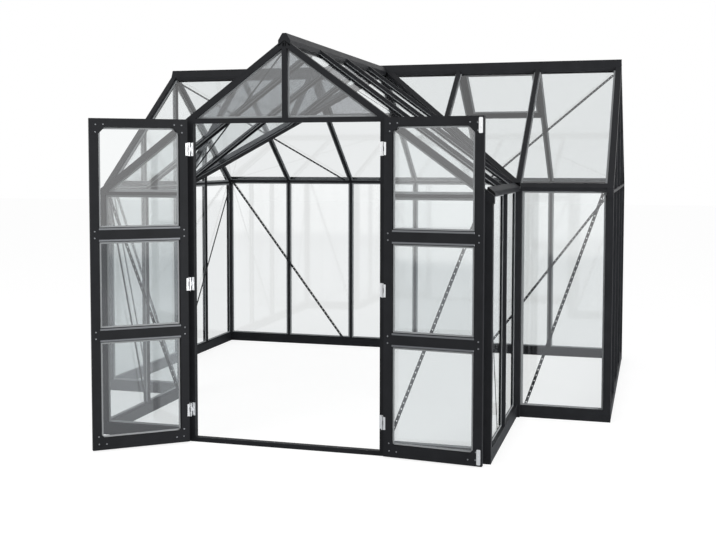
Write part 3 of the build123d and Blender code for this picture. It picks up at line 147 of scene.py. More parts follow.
def linear(hex_colour):
    """sRGB hex to linear RGBA, by the standard curve."""
    srgb = np.array([int(hex_colour[i:i + 2], 16) / 255 for i in (1, 3, 5)])
    rgb = np.where(srgb <= 0.04045, srgb / 12.92, ((srgb + 0.055) / 1.055) ** 2.4)
    return (*rgb.tolist(), 1.0)


def length_property(name, default, description):
    """A size in metres that the sidebar shows in the scene's units."""
    return bpy.props.FloatProperty(name=name, description=description, default=default, min=0.0,
                                   subtype="DISTANCE", unit="LENGTH", precision=4)


def colour_property(name, hex_colour, description):
    """A colour, kept linear, written as sRGB hex."""
    return bpy.props.FloatVectorProperty(name=name, description=description, size=4, min=0.0,
                                         max=1.0, default=linear(hex_colour), subtype="COLOR")


class GreenhouseSizes(bpy.types.PropertyGroup):
    """Sizes of the seals, straps and fixings"""
    tape_width: length_property(
        "Tape width", 0.021, "Width of the glazing tape from the pane's edge inwards")
    tape_height: length_property(
        "Tape height", 0.0012, "Thickness of the glazing tape on the pane")
    gasket_width: length_property(
        "Gasket width", 0.0035, "Width of the black gasket beside a door pane")
    gasket_height: length_property(
        "Gasket height", 0.004, "How far that gasket stands off the pane")
    rail_bead_width: length_property(
        "Rail bead width", 0.011, "Width of the grey glazing bead on a middle rail's edges")
    rail_bead_height: length_property(
        "Rail bead height", 0.0012, "How far that bead stands off the rail")
    strap_pitch: length_property(
        "Hole pitch", 0.04, "Distance between the punched holes of a brace")
    strap_hole: length_property(
        "Hole radius", 0.0045, "Radius of those holes")
    screw_radius: length_property(
        "Screw head radius", 0.006, "Radius of a button-head screw")
    screw_height: length_property(
        "Screw head height", 0.001, "Height of a screw head, low so that the leaves swing past it")
    gusset_leg: length_property(
        "Gusset leg", 0.092, "Length of a corner gusset along the stile and the rail")
    plate_thickness: length_property(
        "Plate thickness", 0.0015, "Thickness of gussets, hinge cover plates and eave caps")
    bolt_width: length_property(
        "Flush bolt width", 0.024, "Width of a flush bolt's face plate")
    bolt_length: length_property(
        "Flush bolt length", 0.09, "Length of a flush bolt's face plate")


class GreenhouseColours(bpy.types.PropertyGroup):
    """Colours of the finishes"""
    coat_dark: colour_property("Coat, dark", "#1D1E20", "Darker tone of the powder coat")
    coat_light: colour_property("Coat, light", "#2A2B2E", "Lighter tone of the powder coat")
    glass_tint: colour_property("Glass", "#FBFCFC", "What one face of a pane lets through")
    # Darker tint of the front gable panes: painted shade for the panes and bars seen behind them
    gable_painted_shade: colour_property(
        "Gable glass", "#C6C8CA", "What one face of a front gable pane lets through")
    glass_sheen: colour_property("Glass sheen", "#F9FAFB", "Tone of the pale sheen on a pane")
    tape: colour_property("Glazing tape", "#A2A5A7", "Grey foam tape between pane and bar")
    rubber: colour_property("Rubber", "#0B0B0C", "Black rubber of the gaskets and eave caps")
    rail_bead: colour_property("Rail bead", "#77797C", "Anodised aluminium of the rail beads")
    zinc: colour_property("Zinc", "#F4F5F6", "Bright zinc of hinges and bolts")
    screw: colour_property("Screws", "#85878A", "Stainless steel of the leaves' screw heads")


def add_node(tree, kind, settings=None, **links):
    """Adds a node with its settings and links.

    Settings go to its properties, or to its inputs by name or number. Links join sockets to its
    inputs: i0 is input 0, and a name has _ for each space.
    """
    node = tree.nodes.new(kind)
    for key, value in (settings or {}).items():
        if isinstance(key, str) and hasattr(node, key):
            setattr(node, key, value)
        else:
            node.inputs[key].default_value = value
    for key, socket in links.items():
        name = int(key[1:]) if key[0] == "i" and key[1:].isdigit() else key.replace("_", " ")
        tree.links.new(socket, node.inputs[name])
    return node


def new_material(name):
    """A new node material with its tree and output; one made before comes with None for both."""
    if name in bpy.data.materials:
        return bpy.data.materials[name], None, None
    material = bpy.data.materials.new(name)
    material.use_nodes = True
    material.node_tree.nodes.clear()
    return material, material.node_tree, material.node_tree.nodes.new("ShaderNodeOutputMaterial")


def per_metre(millimetres):
    """Scale of a pattern whose grains are this many millimetres across: 1000 over that size."""
    return 1000.0 / millimetres


def powder_coat():
    """Satin polyester powder coat on extruded aluminium.

    It is near black, with faint chalky mottling and fine orange peel.
    """
    material, tree, out = new_material("powder_coated_aluminium")
    if tree is None:
        return material
    colours = bpy.context.scene.greenhouse_colours
    place = add_node(tree, "ShaderNodeTexCoord").outputs["Object"]
    mottle = add_node(tree, "ShaderNodeTexNoise", {"Scale": per_metre(111), "Detail": 4.0},
                      Vector=place).outputs["Fac"]
    colour = add_node(tree, "ShaderNodeMix",
                      {"data_type": "RGBA", 6: colours.coat_dark, 7: colours.coat_light}, i0=mottle)
    peel = add_node(tree, "ShaderNodeTexNoise", {"Scale": per_metre(2.4), "Detail": 2.0},
                    Vector=place)
    bump = add_node(tree, "ShaderNodeBump", {"Strength": 0.12, "Distance": 0.0006},
                    Height=peel.outputs["Fac"])
    rough = add_node(tree, "ShaderNodeMapRange", {"To Min": 0.4, "To Max": 0.55}, Value=mottle)
    shader = add_node(tree, "ShaderNodeBsdfPrincipled", {"Specular IOR Level": 0.12},
                      Base_Color=colour.outputs[2], Roughness=rough.outputs[0],
                      Normal=bump.outputs[0])
    tree.links.new(shader.outputs[0], out.inputs["Surface"])
    return material


def float_glass():
    """Toughened float glass, 3 mm: clear, with a pale sheen that grows at a slant.

    The sheen is on the face that light enters by, so a pane counts once. The front gable panes,
    above the header, get a darker grey tint. This is painted shade, standing in for the shade of the
    panes and bars seen through them.
    """
    material, tree, out = new_material("toughened_float_glass")
    if tree is None:
        return material
    colours = bpy.context.scene.greenhouse_colours
    place = add_node(tree, "ShaderNodeTexCoord").outputs["Object"]
    at = add_node(tree, "ShaderNodeSeparateXYZ", Vector=place).outputs
    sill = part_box("header")[1].z - GABLE_UNDER
    high = add_node(tree, "ShaderNodeMath", {"operation": "GREATER_THAN", 1: sill},
                    i0=at[2]).outputs[0]
    ahead = add_node(tree, "ShaderNodeMath", {"operation": "LESS_THAN", 1: GABLE_AHEAD},
                     i0=at[1]).outputs[0]
    gable = add_node(tree, "ShaderNodeMath", {"operation": "MULTIPLY"},
                     i0=high, i1=ahead).outputs[0]
    # Painted shade: the front gable panes let less through, for the shade of what lies behind them
    tint = add_node(tree, "ShaderNodeMix",
                    {"data_type": "RGBA", 6: colours.glass_tint, 7: colours.gable_painted_shade}, i0=gable)
    clear = add_node(tree, "ShaderNodeBsdfTransparent", Color=tint.outputs[2])
    sheen = add_node(tree, "ShaderNodeBsdfGlossy",
                     {"Roughness": 0.05, "Color": colours.glass_sheen})
    fresnel = add_node(tree, "ShaderNodeFresnel", {"IOR": 1.52}).outputs[0]
    share = add_node(tree, "ShaderNodeMapRange",
                     {"From Min": FRESNEL_SQUARE, "To Min": SHEEN_SQUARE, "To Max": SHEEN_SLANT},
                     Value=fresnel).outputs[0]
    back = add_node(tree, "ShaderNodeNewGeometry").outputs["Backfacing"]
    front = add_node(tree, "ShaderNodeMath", {"operation": "SUBTRACT", 0: 1.0}, i1=back).outputs[0]
    share = add_node(tree, "ShaderNodeMath", {"operation": "MULTIPLY"},
                     i0=share, i1=front).outputs[0]
    mixed = add_node(tree, "ShaderNodeMixShader", i0=share, i1=clear.outputs[0],
                     i2=sheen.outputs[0])
    tree.links.new(mixed.outputs[0], out.inputs["Surface"])
    return material


def metal(name, colour, grain, rough_low, rough_high):
    """A plated or drawn metal whose grain, in millimetres, only shows in its roughness."""
    material, tree, out = new_material(name)
    if tree is None:
        return material
    place = add_node(tree, "ShaderNodeTexCoord").outputs["Object"]
    grains = add_node(tree, "ShaderNodeTexNoise", {"Scale": per_metre(grain), "Detail": 3.0},
                      Vector=place)
    rough = add_node(tree, "ShaderNodeMapRange", {"To Min": rough_low, "To Max": rough_high},
                     Value=grains.outputs["Fac"])
    shader = add_node(tree, "ShaderNodeBsdfPrincipled", {"Metallic": 1.0, "Base Color": colour},
                      Roughness=rough.outputs[0])
    tree.links.new(shader.outputs[0], out.inputs["Surface"])
    return material


def zinc_steel():
    """Bright zinc-plated pressed steel of hinges and flush bolts: pale, with fine spangle."""
    return metal("zinc_plated_steel", bpy.context.scene.greenhouse_colours.zinc, 6.25, 0.25, 0.42)


def stainless_steel():
    """Drawn stainless steel of the leaves' screw heads: mid grey, finely satin."""
    return metal("stainless_steel", bpy.context.scene.greenhouse_colours.screw, 1.1, 0.3, 0.5)


def anodised_aluminium():
    """Grey anodised aluminium of the snap-in rail beads: mid grey, drawn, satin."""
    return metal("anodised_aluminium", bpy.context.scene.greenhouse_colours.rail_bead,
                 1.4, 0.35, 0.55)


def elastomer(name, colour, pore, strength):
    """A matt elastomer with a fine open surface, its pores in millimetres."""
    material, tree, out = new_material(name)
    if tree is None:
        return material
    place = add_node(tree, "ShaderNodeTexCoord").outputs["Object"]
    pores = add_node(tree, "ShaderNodeTexNoise", {"Scale": per_metre(pore), "Detail": 2.0},
                     Vector=place).outputs["Fac"]
    shade = add_node(tree, "ShaderNodeMapRange", {"To Min": 0.86, "To Max": 1.06}, Value=pores)
    tone = add_node(tree, "ShaderNodeHueSaturation", {"Color": colour}, Value=shade.outputs[0])
    bump = add_node(tree, "ShaderNodeBump", {"Strength": strength, "Distance": 0.0004},
                    Height=pores)
    shader = add_node(tree, "ShaderNodeBsdfPrincipled",
                      {"Roughness": 0.75, "Specular IOR Level": 0.25},
                      Base_Color=tone.outputs[0], Normal=bump.outputs[0])
    tree.links.new(shader.outputs[0], out.inputs["Surface"])
    return material


def glazing_tape():
    """Closed-cell grey foam tape under each pane's edge: matt, finely porous."""
    return elastomer("grey_foam_glazing_tape", bpy.context.scene.greenhouse_colours.tape, 1.5, 0.3)


def black_rubber():
    """Extruded EPDM rubber: black, matt, faintly uneven."""
    return elastomer("black_epdm_rubber", bpy.context.scene.greenhouse_colours.rubber, 3.0, 0.15)


def ray_kinds(tree):
    """Kinds of ray, and a 1 for rays that come from the camera, straight or by transmission."""
    path = add_node(tree, "ShaderNodeLightPath").outputs
    direct = add_node(tree, "ShaderNodeMath", {"operation": "MAXIMUM"},
                      i0=path["Is Camera Ray"], i1=path["Is Transmission Ray"]).outputs[0]
    return path, direct


def studio_white():
    """Matt studio floor: white with the object's shadow where it is seen, a grey tone in gloss."""
    material, tree, out = new_material("studio_floor")
    path, direct = ray_kinds(tree)
    seen = add_node(tree, "ShaderNodeMath", {"operation": "MAXIMUM"},
                    i0=direct, i1=path["Is Glossy Ray"]).outputs[0]
    tone = add_node(tree, "ShaderNodeMix",
                    {"data_type": "RGBA", 6: linear(FLOOR_MIRRORED), 7: linear(WHITE)}, i0=direct)
    level = add_node(tree, "ShaderNodeMath", {"operation": "MULTIPLY", 1: FLOOR_GLOW},
                     i0=seen).outputs[0]
    matt = add_node(tree, "ShaderNodeBsdfDiffuse", {"Color": linear(FLOOR_MATT)})
    glow = add_node(tree, "ShaderNodeEmission", Color=tone.outputs[2], Strength=level)
    both = add_node(tree, "ShaderNodeAddShader", i0=matt.outputs[0], i1=glow.outputs[0])
    tree.links.new(both.outputs[0], out.inputs["Surface"])
    return material


def make_mesh(name, points, faces, material, smooth=False):
    """A mesh object at the origin from (n, 3) points and faces as (m, 4) corner numbers.

    Points that fall together are welded, which closes seams and poles.
    """
    mesh = bpy.data.meshes.new(name)
    mesh.vertices.add(len(points))
    mesh.vertices.foreach_set("co", np.ascontiguousarray(points, np.float32).ravel())
    mesh.loops.add(faces.size)
    mesh.loops.foreach_set("vertex_index", np.ascontiguousarray(faces, np.int32).ravel())
    mesh.polygons.add(len(faces))
    starts = np.arange(0, faces.size, faces.shape[1], dtype=np.int32)
    mesh.polygons.foreach_set("loop_start", starts)
    mesh.update(calc_edges=True)
    welded = bmesh.new()
    welded.from_mesh(mesh)
    bmesh.ops.remove_doubles(welded, verts=welded.verts, dist=WELD)
    welded.to_mesh(mesh)
    welded.free()
    mesh.polygons.foreach_set("use_smooth", np.full(len(mesh.polygons), smooth))
    mesh.materials.append(material)
    piece = bpy.data.objects.new(name, mesh)
    bpy.context.scene.collection.objects.link(piece)
    return piece


def fit_piece(name, parts, material, body, smooth=False):
    """Joins (points, faces) parts into one piece that rides on a body and is finished as a slot."""
    starts = np.cumsum([0] + [len(points) for points, faces in parts[:-1]])
    points = np.concatenate([points for points, faces in parts])
    faces = np.concatenate([faces + start for start, (_, faces) in zip(starts, parts)])
    piece = make_mesh(name, points, faces, material, smooth)
    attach(piece, body)
    return piece


def outward(points, faces):
    """Turns a closed part's faces outwards.

    The tetrahedra from its first point to the halves of each face add up to its volume, whose sign
    tells which way the faces look.
    """
    a, b, c, d = (points[faces[:, k]] - points[0] for k in range(4))
    halves = np.einsum("ij,ij->i", a, np.cross(b, c)), np.einsum("ij,ij->i", a, np.cross(c, d))
    return (points, faces) if (halves[0] + halves[1]).sum() > 0 else (points, faces[:, ::-1])


def solids(name):
    """Corner points of each separate solid of a node.

    Equal points are merged, then every triangle hands the lowest number among its corners to all of
    them, again and again until nothing changes: points with one number are one solid.
    """
    mesh = frame["nodes"][name].data
    points = np.empty(len(mesh.vertices) * 3, np.float32)
    mesh.vertices.foreach_get("co", points)
    corners = np.empty(len(mesh.loops), np.int32)
    mesh.loops.foreach_get("vertex_index", corners)
    rounded = np.round(points.reshape(-1, 3).astype(float), CORNER_DECIMALS)
    points, number = np.unique(rounded, axis=0, return_inverse=True)
    corners = number.reshape(-1)[corners].reshape(-1, 3)
    label = np.arange(len(points))
    while True:
        spread = label.copy()
        np.minimum.at(spread, corners.ravel(), np.repeat(label[corners].min(1), 3))
        spread = spread[spread]
        if (spread == label).all():
            return [points[label == k] for k in np.unique(label)]
        label = spread


def principal_frame(points):
    """Centre, axes (long, wide, thin) and half sizes of a plate or bar, from its corner points.

    The axes are the singular vectors of the points about their mean; the half sizes are half the
    reach along each axis, and the centre is in the middle of that reach.
    """
    centre = points.mean(0)
    axes = np.linalg.svd(points - centre, full_matrices=False)[2]
    reach = (points - centre) @ axes.T
    centre = centre + (reach.max(0) + reach.min(0)) / 2 @ axes
    return centre, axes, (reach.max(0) - reach.min(0)) / 2


def hull(flat):
    """Outline of flat points: those on their convex hull, in order."""
    return flat[convex_hull_2d([tuple(p) for p in flat])]


def pane_outline(points, shortest=0.06):
    """A pane's centre, axes, half thickness and outline, anticlockwise, without its short edges.

    An edge under the shortest length goes by running its two neighbours on to where they cross.
    """
    centre, axes, half = principal_frame(points)
    outline = hull((points - centre) @ axes[:2].T)
    while len(outline) > 3:
        edge = np.roll(outline, -1, 0) - outline
        short = int(np.argmin(np.hypot(*edge.T)))
        if np.hypot(*edge[short]) >= shortest:
            break
        outline = np.roll(outline, 1 - short, 0)
        a, b, c, d = outline[0], outline[1], outline[2], outline[3 % len(outline)]
        u, v = b - a, d - c
        t = ((c - a)[0] * v[1] - (c - a)[1] * v[0]) / (u[0] * v[1] - u[1] * v[0])
        outline = np.concatenate([[a], [a + t * u], outline[3:]])
    x, y = outline.T
    if (x * np.roll(y, -1) - y * np.roll(x, -1)).sum() < 0:
        outline = outline[::-1]
    return centre, axes, half[2], outline


def rim(pane, profile, side):
    """A profile carried round a pane on one face of it, mitred at the corners.

    A profile point is (inset from the edge, height off the face). At a corner the inset runs along
    the mitre: the sum of the two edges' inward normals, over one plus their product.
    """
    centre, axes, half_thickness, outline = pane
    edge = np.roll(outline, -1, 0) - outline
    inward = np.stack([-edge[:, 1], edge[:, 0]], 1) / np.hypot(*edge.T)[:, None]
    before = np.roll(inward, 1, 0)
    mitre = (inward + before) / (1 + (inward * before).sum(1))[:, None]
    inset, height = np.array(profile).T
    flat = outline[:, None] + inset[None, :, None] * mitre[:, None]
    off = np.broadcast_to(side * (half_thickness + height), flat.shape[:2])
    points = centre + flat @ axes[:2] + off[..., None] * axes[2]
    return outward(points.reshape(-1, 3), closed_grid(len(outline), len(profile)))


def closed_grid(rows, columns):
    """Corner numbers of a grid that closes on itself both ways, as a ring with a closed profile."""
    row, column = np.meshgrid(np.arange(rows), np.arange(columns), indexing="ij")
    here, after, beside = row * columns, (row + 1) % rows * columns, (column + 1) % columns
    corners = here + column, after + column, after + beside, here + beside
    return np.stack(corners, -1).reshape(-1, 4)


def turned_grid(rings, columns):
    """Corner numbers of a grid whose rings close on themselves, open from first ring to last."""
    row, column = np.meshgrid(np.arange(rings - 1), np.arange(columns), indexing="ij")
    here, after, beside = row * columns, (row + 1) * columns, (column + 1) % columns
    corners = here + column, here + beside, after + beside, after + column
    return np.stack(corners, -1).reshape(-1, 4)


def slab(outline, centre, axes, thickness, chamfer):
    """A flat plate with a chamfered top rim: rings of its outline at the foot, shoulder and top.

    The top ring is drawn in by the chamfer towards the outline's middle. Rings with all their
    points at the middle close the foot and the top.
    """
    outline = np.array(outline, float)
    middle = outline.mean(0)
    pole = np.broadcast_to(middle, outline.shape)
    reach = np.hypot(*(outline - middle).T)[:, None]
    drawn = middle + (outline - middle) * (1 - chamfer / reach)
    rings = ((pole, 0.0), (outline, 0.0), (outline, thickness - chamfer), (drawn, thickness),
             (pole, thickness))
    flat = np.concatenate([np.c_[ring, np.full(len(outline), height)] for ring, height in rings])
    return outward(centre + flat @ axes, turned_grid(len(rings), len(outline)))


def button_heads(places, normals, radius, height):
    """Button-head screws: a dome turned round each normal, with a drive recess sunk in its top.

    A ring is place + profile radius (side cos t + across sin t) + profile height along the normal,
    for equal steps of t. Side is normal x up, or normal x X where the normal is steep.
    """
    turn = np.arange(BUTTON_SEGMENTS) * 2 * math.pi / BUTTON_SEGMENTS
    steep = np.abs(normals[:, 2:]) > 0.9
    side = np.cross(normals, np.where(steep, (1.0, 0.0, 0.0), UP))
    side /= np.linalg.norm(side, axis=1)[:, None]
    across = np.cross(normals, side)
    ring = (side[:, None] * np.cos(turn)[None, :, None]
            + across[:, None] * np.sin(turn)[None, :, None])
    out, rise = BUTTON_PROFILE.T
    points = (places[:, None, None] + ring[:, None] * (out * radius)[None, :, None, None]
              + normals[:, None, None] * (rise * height)[None, :, None, None])
    faces = turned_grid(len(BUTTON_PROFILE), BUTTON_SEGMENTS)
    start = np.arange(len(places))[:, None, None] * len(BUTTON_PROFILE) * BUTTON_SEGMENTS
    return points.reshape(-1, 3), (faces[None] + start).reshape(-1, 4)


def punched_strap(points, pitch, hole):
    """A flat strap with a row of round holes.

    Each cell joins eight points on its border to eight on the hole, on both faces. The strap's long
    sides and the hole's wall join the two faces, and two more faces close each end.
    """
    centre, (long, wide, thin), (half_long, half_wide, half_thin) = principal_frame(points)
    count = max(1, round(2 * half_long / pitch))
    step = half_long / count
    ring = 8
    turn = np.arange(ring) * 2 * math.pi / ring
    corner = np.sign(np.round([np.cos(turn), np.sin(turn)], 6))
    border = np.stack([corner[0] * step, corner[1] * half_wide], 1)
    inner = np.stack([np.cos(turn), np.sin(turn)], 1) * hole
    flat = np.concatenate([border, inner, border, inner])
    lift = np.repeat([half_thin, half_thin, -half_thin, -half_thin], ring)
    start = -half_long + step * (2 * np.arange(count) + 1)
    cells = (centre + (start[:, None] + flat[None, :, 0])[..., None] * long
             + flat[None, :, 1, None] * wide + lift[None, :, None] * thin)
    # First point of each ring after the top border's, and of the next cell
    top_hole, foot, foot_hole, cell = ring, 2 * ring, 3 * ring, 4 * ring
    k, after = np.arange(ring), (np.arange(ring) + 1) % ring
    # Border edges on the strap's long sides start at these points
    sides = np.array([1, 2, 5, 6])
    faces = np.concatenate([
        np.stack((k, after, after + top_hole, k + top_hole), 1),
        np.stack((k + foot_hole, after + foot_hole, after + foot, k + foot), 1),
        np.stack((k + top_hole, after + top_hole, after + foot_hole, k + foot_hole), 1),
        np.stack((sides + foot, (sides + 1) % ring + foot, (sides + 1) % ring, sides), 1),
    ])
    ends = ((3, 4, 0), (4, 5, 0), (7, 0, count - 1), (0, 1, count - 1))
    caps = [np.array([a + foot, b + foot, b, a]) + cell * number for a, b, number in ends]
    body = faces[None] + cell * np.arange(count)[:, None, None]
    return outward(cells.reshape(-1, 3), np.concatenate([body.reshape(-1, 4), caps]))


def box_face(low, high, axis, sign):
    """Middle and normal of the face of a box that looks along an axis, forwards or backwards."""
    place, normal = (low + high) / 2, np.zeros(3)
    place[axis] = high[axis] if sign > 0 else low[axis]
    normal[axis] = sign
    return place, normal


class Leaf:
    """Where a door leaf hangs: u runs along it from the hinge, n off its face towards the room."""

    def __init__(self, side):
        self.body = "leaf_" + side
        joint = next(j for j in frame["joints"] if j["child"] == self.body)
        self.hinge = np.array(joint["pos_m"])
        centre, axes, _ = principal_frame(solids(self.body + "_glass")[0])
        normal = axes[2] * (1, 1, 0) / np.linalg.norm(axes[2][:2])
        along = np.cross(UP, normal)
        self.along = along if (centre - self.hinge) @ along > 0 else -along
        self.room = np.cross(UP, self.along) * (1 if side == "left" else -1)
        self.stiles = sorted(self.pieces("_stiles"), key=lambda span: span[0][0])
        self.rails = sorted(self.pieces("_rails"), key=lambda span: span[0][2])

    def pieces(self, node):
        """Spans of the solids of one of the leaf's nodes."""
        return [self.spans(points) for points in solids(self.body + node)]

    def spans(self, points):
        """Lowest and highest (u, n, z) of a piece, by products with the leaf's axes."""
        off = points - self.hinge
        local = np.stack([off @ self.along, off @ self.room, points[:, 2]], 1)
        return local.min(0), local.max(0)

    def place(self, u, n, z):
        """Point in the model's frame: the hinge's foot + u along + n towards the room + z up."""
        return self.hinge * (1, 1, 0) + u * self.along + n * self.room + z * UP

    def axes(self, face):
        """Axes of a plate on the room side (face 1) or the other (face -1): along, up, off it."""
        return np.array([self.along, UP, face * self.room])


class FinishFrame(bpy.types.Operator):
    """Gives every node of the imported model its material"""
    bl_idname = "greenhouse.finish_frame"
    bl_label = "Finish the frame"

    def execute(self, context):
        coat, glass, zinc = powder_coat(), float_glass(), zinc_steel()
        for name, node in frame["nodes"].items():
            material = glass if "glass" in name else zinc if name in HINGE_NODES else coat
            node.data.materials.clear()
            node.data.materials.append(material)
        return {"FINISHED"}


class LayGlazingTape(bpy.types.Operator):
    """Lays grey foam tape round both faces of every pane"""
    bl_idname = "greenhouse.lay_glazing_tape"
    bl_label = "Lay the glazing tape"

    def execute(self, context):
        sizes = context.scene.greenhouse_sizes
        width, height = sizes.tape_width, sizes.tape_height
        foot, shoulder = TAPE_FOOT * height, TAPE_SHOULDER * height
        profile = ((0, foot), (width, foot), (width, shoulder), (width - height, height),
                   (0, height))
        for body, nodes in (("house", HOUSE_PANES), ("leaf_left", ("leaf_left_glass",)),
                            ("leaf_right", ("leaf_right_glass",))):
            panes = [pane_outline(points) for node in nodes for points in solids(node)]
            parts = [rim(pane, profile, side) for pane in panes for side in (-1, 1)]
            fit_piece(body + "_glazing_tape", parts, glazing_tape(), body)
        return {"FINISHED"}


class FitGaskets(bpy.types.Operator):
    """Fits black gaskets beside the door panes and grey beads along the middle rails' edges"""
    bl_idname = "greenhouse.fit_gaskets"
    bl_label = "Fit the door gaskets and beads"

    def execute(self, context):
        sizes = context.scene.greenhouse_sizes
        height = sizes.gasket_height
        near, crown, far = GASKET_INSET + sizes.gasket_width * np.array([0.0, GASKET_CROWN, 1.0])
        profile = ((near, GASKET_FOOT), (far, GASKET_FOOT), (far, GASKET_SHOULDER * height),
                   (crown, height), (near, height))
        for side in LEAVES:
            leaf = Leaf(side)
            panes = [pane_outline(points) for points in solids(leaf.body + "_glass")]
            parts = [rim(pane, profile, face) for pane in panes for face in (-1, 1)]
            fit_piece(leaf.body + "_gaskets", parts, black_rubber(), leaf.body)
            self.fit_rail_beads(leaf, sizes.rail_bead_width, sizes.rail_bead_height)
        return {"FINISHED"}

    def fit_rail_beads(self, leaf, width, height):
        """Flat beads along both edges of the two middle rails, on both faces, stile to stile."""
        start, end = leaf.stiles[0][1][0], leaf.stiles[1][0][0]
        outline = ((start, 0), (end, 0), (end, width), (start, width))
        beads = [slab(outline, leaf.place(0, n, z), leaf.axes(face), height, FINE_CHAMFER)
                 for low, high in leaf.rails[1:3]
                 for face, n in ((1, high[1]), (-1, low[1]))
                 for z in (low[2], high[2] - width)]
        fit_piece(leaf.body + "_rail_beads", beads, anodised_aluminium(), leaf.body)


class PunchBraces(bpy.types.Operator):
    """Puts punched straps in the place of the plain brace straps"""
    bl_idname = "greenhouse.punch_braces"
    bl_label = "Punch the braces"

    def execute(self, context):
        sizes = context.scene.greenhouse_sizes
        for node in ("braces_walls", "braces_roof"):
            parts = [punched_strap(points, sizes.strap_pitch, sizes.strap_hole)
                     for points in solids(node)]
            piece = fit_piece(node + "_punched", parts, powder_coat(), "house")
            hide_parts(node)
        return {"FINISHED"}


class FitLeafPlates(bpy.types.Operator):
    """Fits the gussets, screws, hinge cover plates and flush bolts of the door leaves"""
    bl_idname = "greenhouse.fit_leaf_plates"
    bl_label = "Fit the leaf plates"

    def execute(self, context):
        sizes = context.scene.greenhouse_sizes
        for side in LEAVES:
            leaf = Leaf(side)
            corner_screws = self.fit_gussets(leaf, sizes)
            self.drive_leaf_screws(leaf, sizes, corner_screws)
            self.fit_hinge_covers(leaf, sizes)
            if side == "right":
                self.fit_flush_bolts(leaf, sizes)
        return {"FINISHED"}

    def fit_gussets(self, leaf, sizes):
        """Fits a gusset in each corner of the leaf's room side, and gives their screws' places."""
        leg, thick = sizes.gusset_leg, sizes.plate_thickness
        cut = GUSSET_CUT * leg
        outline = ((0, 0), (leg, 0), (leg, cut), (cut, leg), (0, leg))
        spots = np.c_[GUSSET_SCREWS * leg, np.full(len(GUSSET_SCREWS), thick)]
        (low, high), (_, far_high) = leaf.stiles
        gussets, screws = [], []
        for u, inward in ((low[0], 1), (far_high[0], -1)):
            for z, rise in ((low[2], 1), (high[2], -1)):
                corner = leaf.place(u + inward * GUSSET_INSET, high[1], z + rise * GUSSET_INSET)
                axes = leaf.axes(1) * np.array([[inward], [rise], [1]])
                gussets.append(slab(outline, corner, axes, thick, PLATE_CHAMFER))
                screws.append(corner + spots @ axes)
        fit_piece(leaf.body + "_gussets", gussets, powder_coat(), leaf.body)
        return np.concatenate(screws)

    def drive_leaf_screws(self, leaf, sizes, corner_screws):
        """Drives the gussets' screws, and two at each end of a middle rail on both faces."""
        (low, high), (far_low, far_high) = leaf.stiles
        radius, height = sizes.screw_radius * LEAF_SCREW, sizes.screw_height
        stile_middles = (low[0] + high[0]) / 2, (far_low[0] + far_high[0]) / 2
        heads = [button_heads(corner_screws, np.tile(leaf.room, (len(corner_screws), 1)),
                              radius, height)]
        for face, n in ((1, high[1]), (-1, low[1])):
            for rail_low, rail_high in leaf.rails[1:3]:
                middle = (rail_low[2] + rail_high[2]) / 2
                spots = np.array([leaf.place(u, n, z) for u in stile_middles
                                  for z in (middle - RAIL_SCREW, middle + RAIL_SCREW)])
                normals = np.tile(face * leaf.room, (len(spots), 1))
                heads.append(button_heads(spots, normals, radius, height))
        fit_piece(leaf.body + "_screws", heads, stainless_steel(), leaf.body,
                  smooth=True)

    def fit_hinge_covers(self, leaf, sizes):
        """Fits a cover plate beside each hinge, on the room side of the leaf."""
        low, high = leaf.stiles[0]
        outline = ((0, -COVER_HALF), (COVER_WIDTH, -COVER_HALF), (COVER_WIDTH, COVER_HALF),
                   (0, COVER_HALF))
        covers = []
        for hinge_low, hinge_high in leaf.pieces("_hinges"):
            foot = leaf.place(low[0] + COVER_INSET, high[1], (hinge_low[2] + hinge_high[2]) / 2)
            covers.append(slab(outline, foot, leaf.axes(1), sizes.plate_thickness, PLATE_CHAMFER))
        fit_piece(leaf.body + "_hinge_covers", covers, zinc_steel(), leaf.body)

    def fit_flush_bolts(self, leaf, sizes):
        """Fits a flush bolt's face plate and slide near the top and the foot of the far stile."""
        low, high = leaf.stiles[1]
        u, n = (low[0] + high[0]) / 2 + BOLT_OFFSET, high[1]
        half, half_length = sizes.bolt_width / 2, sizes.bolt_length / 2
        corners = ((1, -1, (0, 1)), (1, 1, (1, 0)), (-1, 1, (0, 1)), (-1, -1, (1, 0)))
        plate = [(x * (half - BOLT_CORNER * (1 - k)), y * (half_length - BOLT_CORNER * k))
                 for x, y, ends in corners for k in ends]
        slide = [(SLIDE_SIDES[0] * x, SLIDE_SIDES[1] * y) for x, y in plate]
        bolts = []
        for z in (high[2] - half_length - BOLT_END, low[2] + half_length + BOLT_END):
            bolts.append(slab(plate, leaf.place(u, n, z), leaf.axes(1), *BOLT_PLATE))
            on_plate = leaf.place(u, n + BOLT_PLATE[0], z)
            bolts.append(slab(slide, on_plate, leaf.axes(1), *BOLT_SLIDE))
        fit_piece(leaf.body + "_flush_bolts", bolts, zinc_steel(), leaf.body)


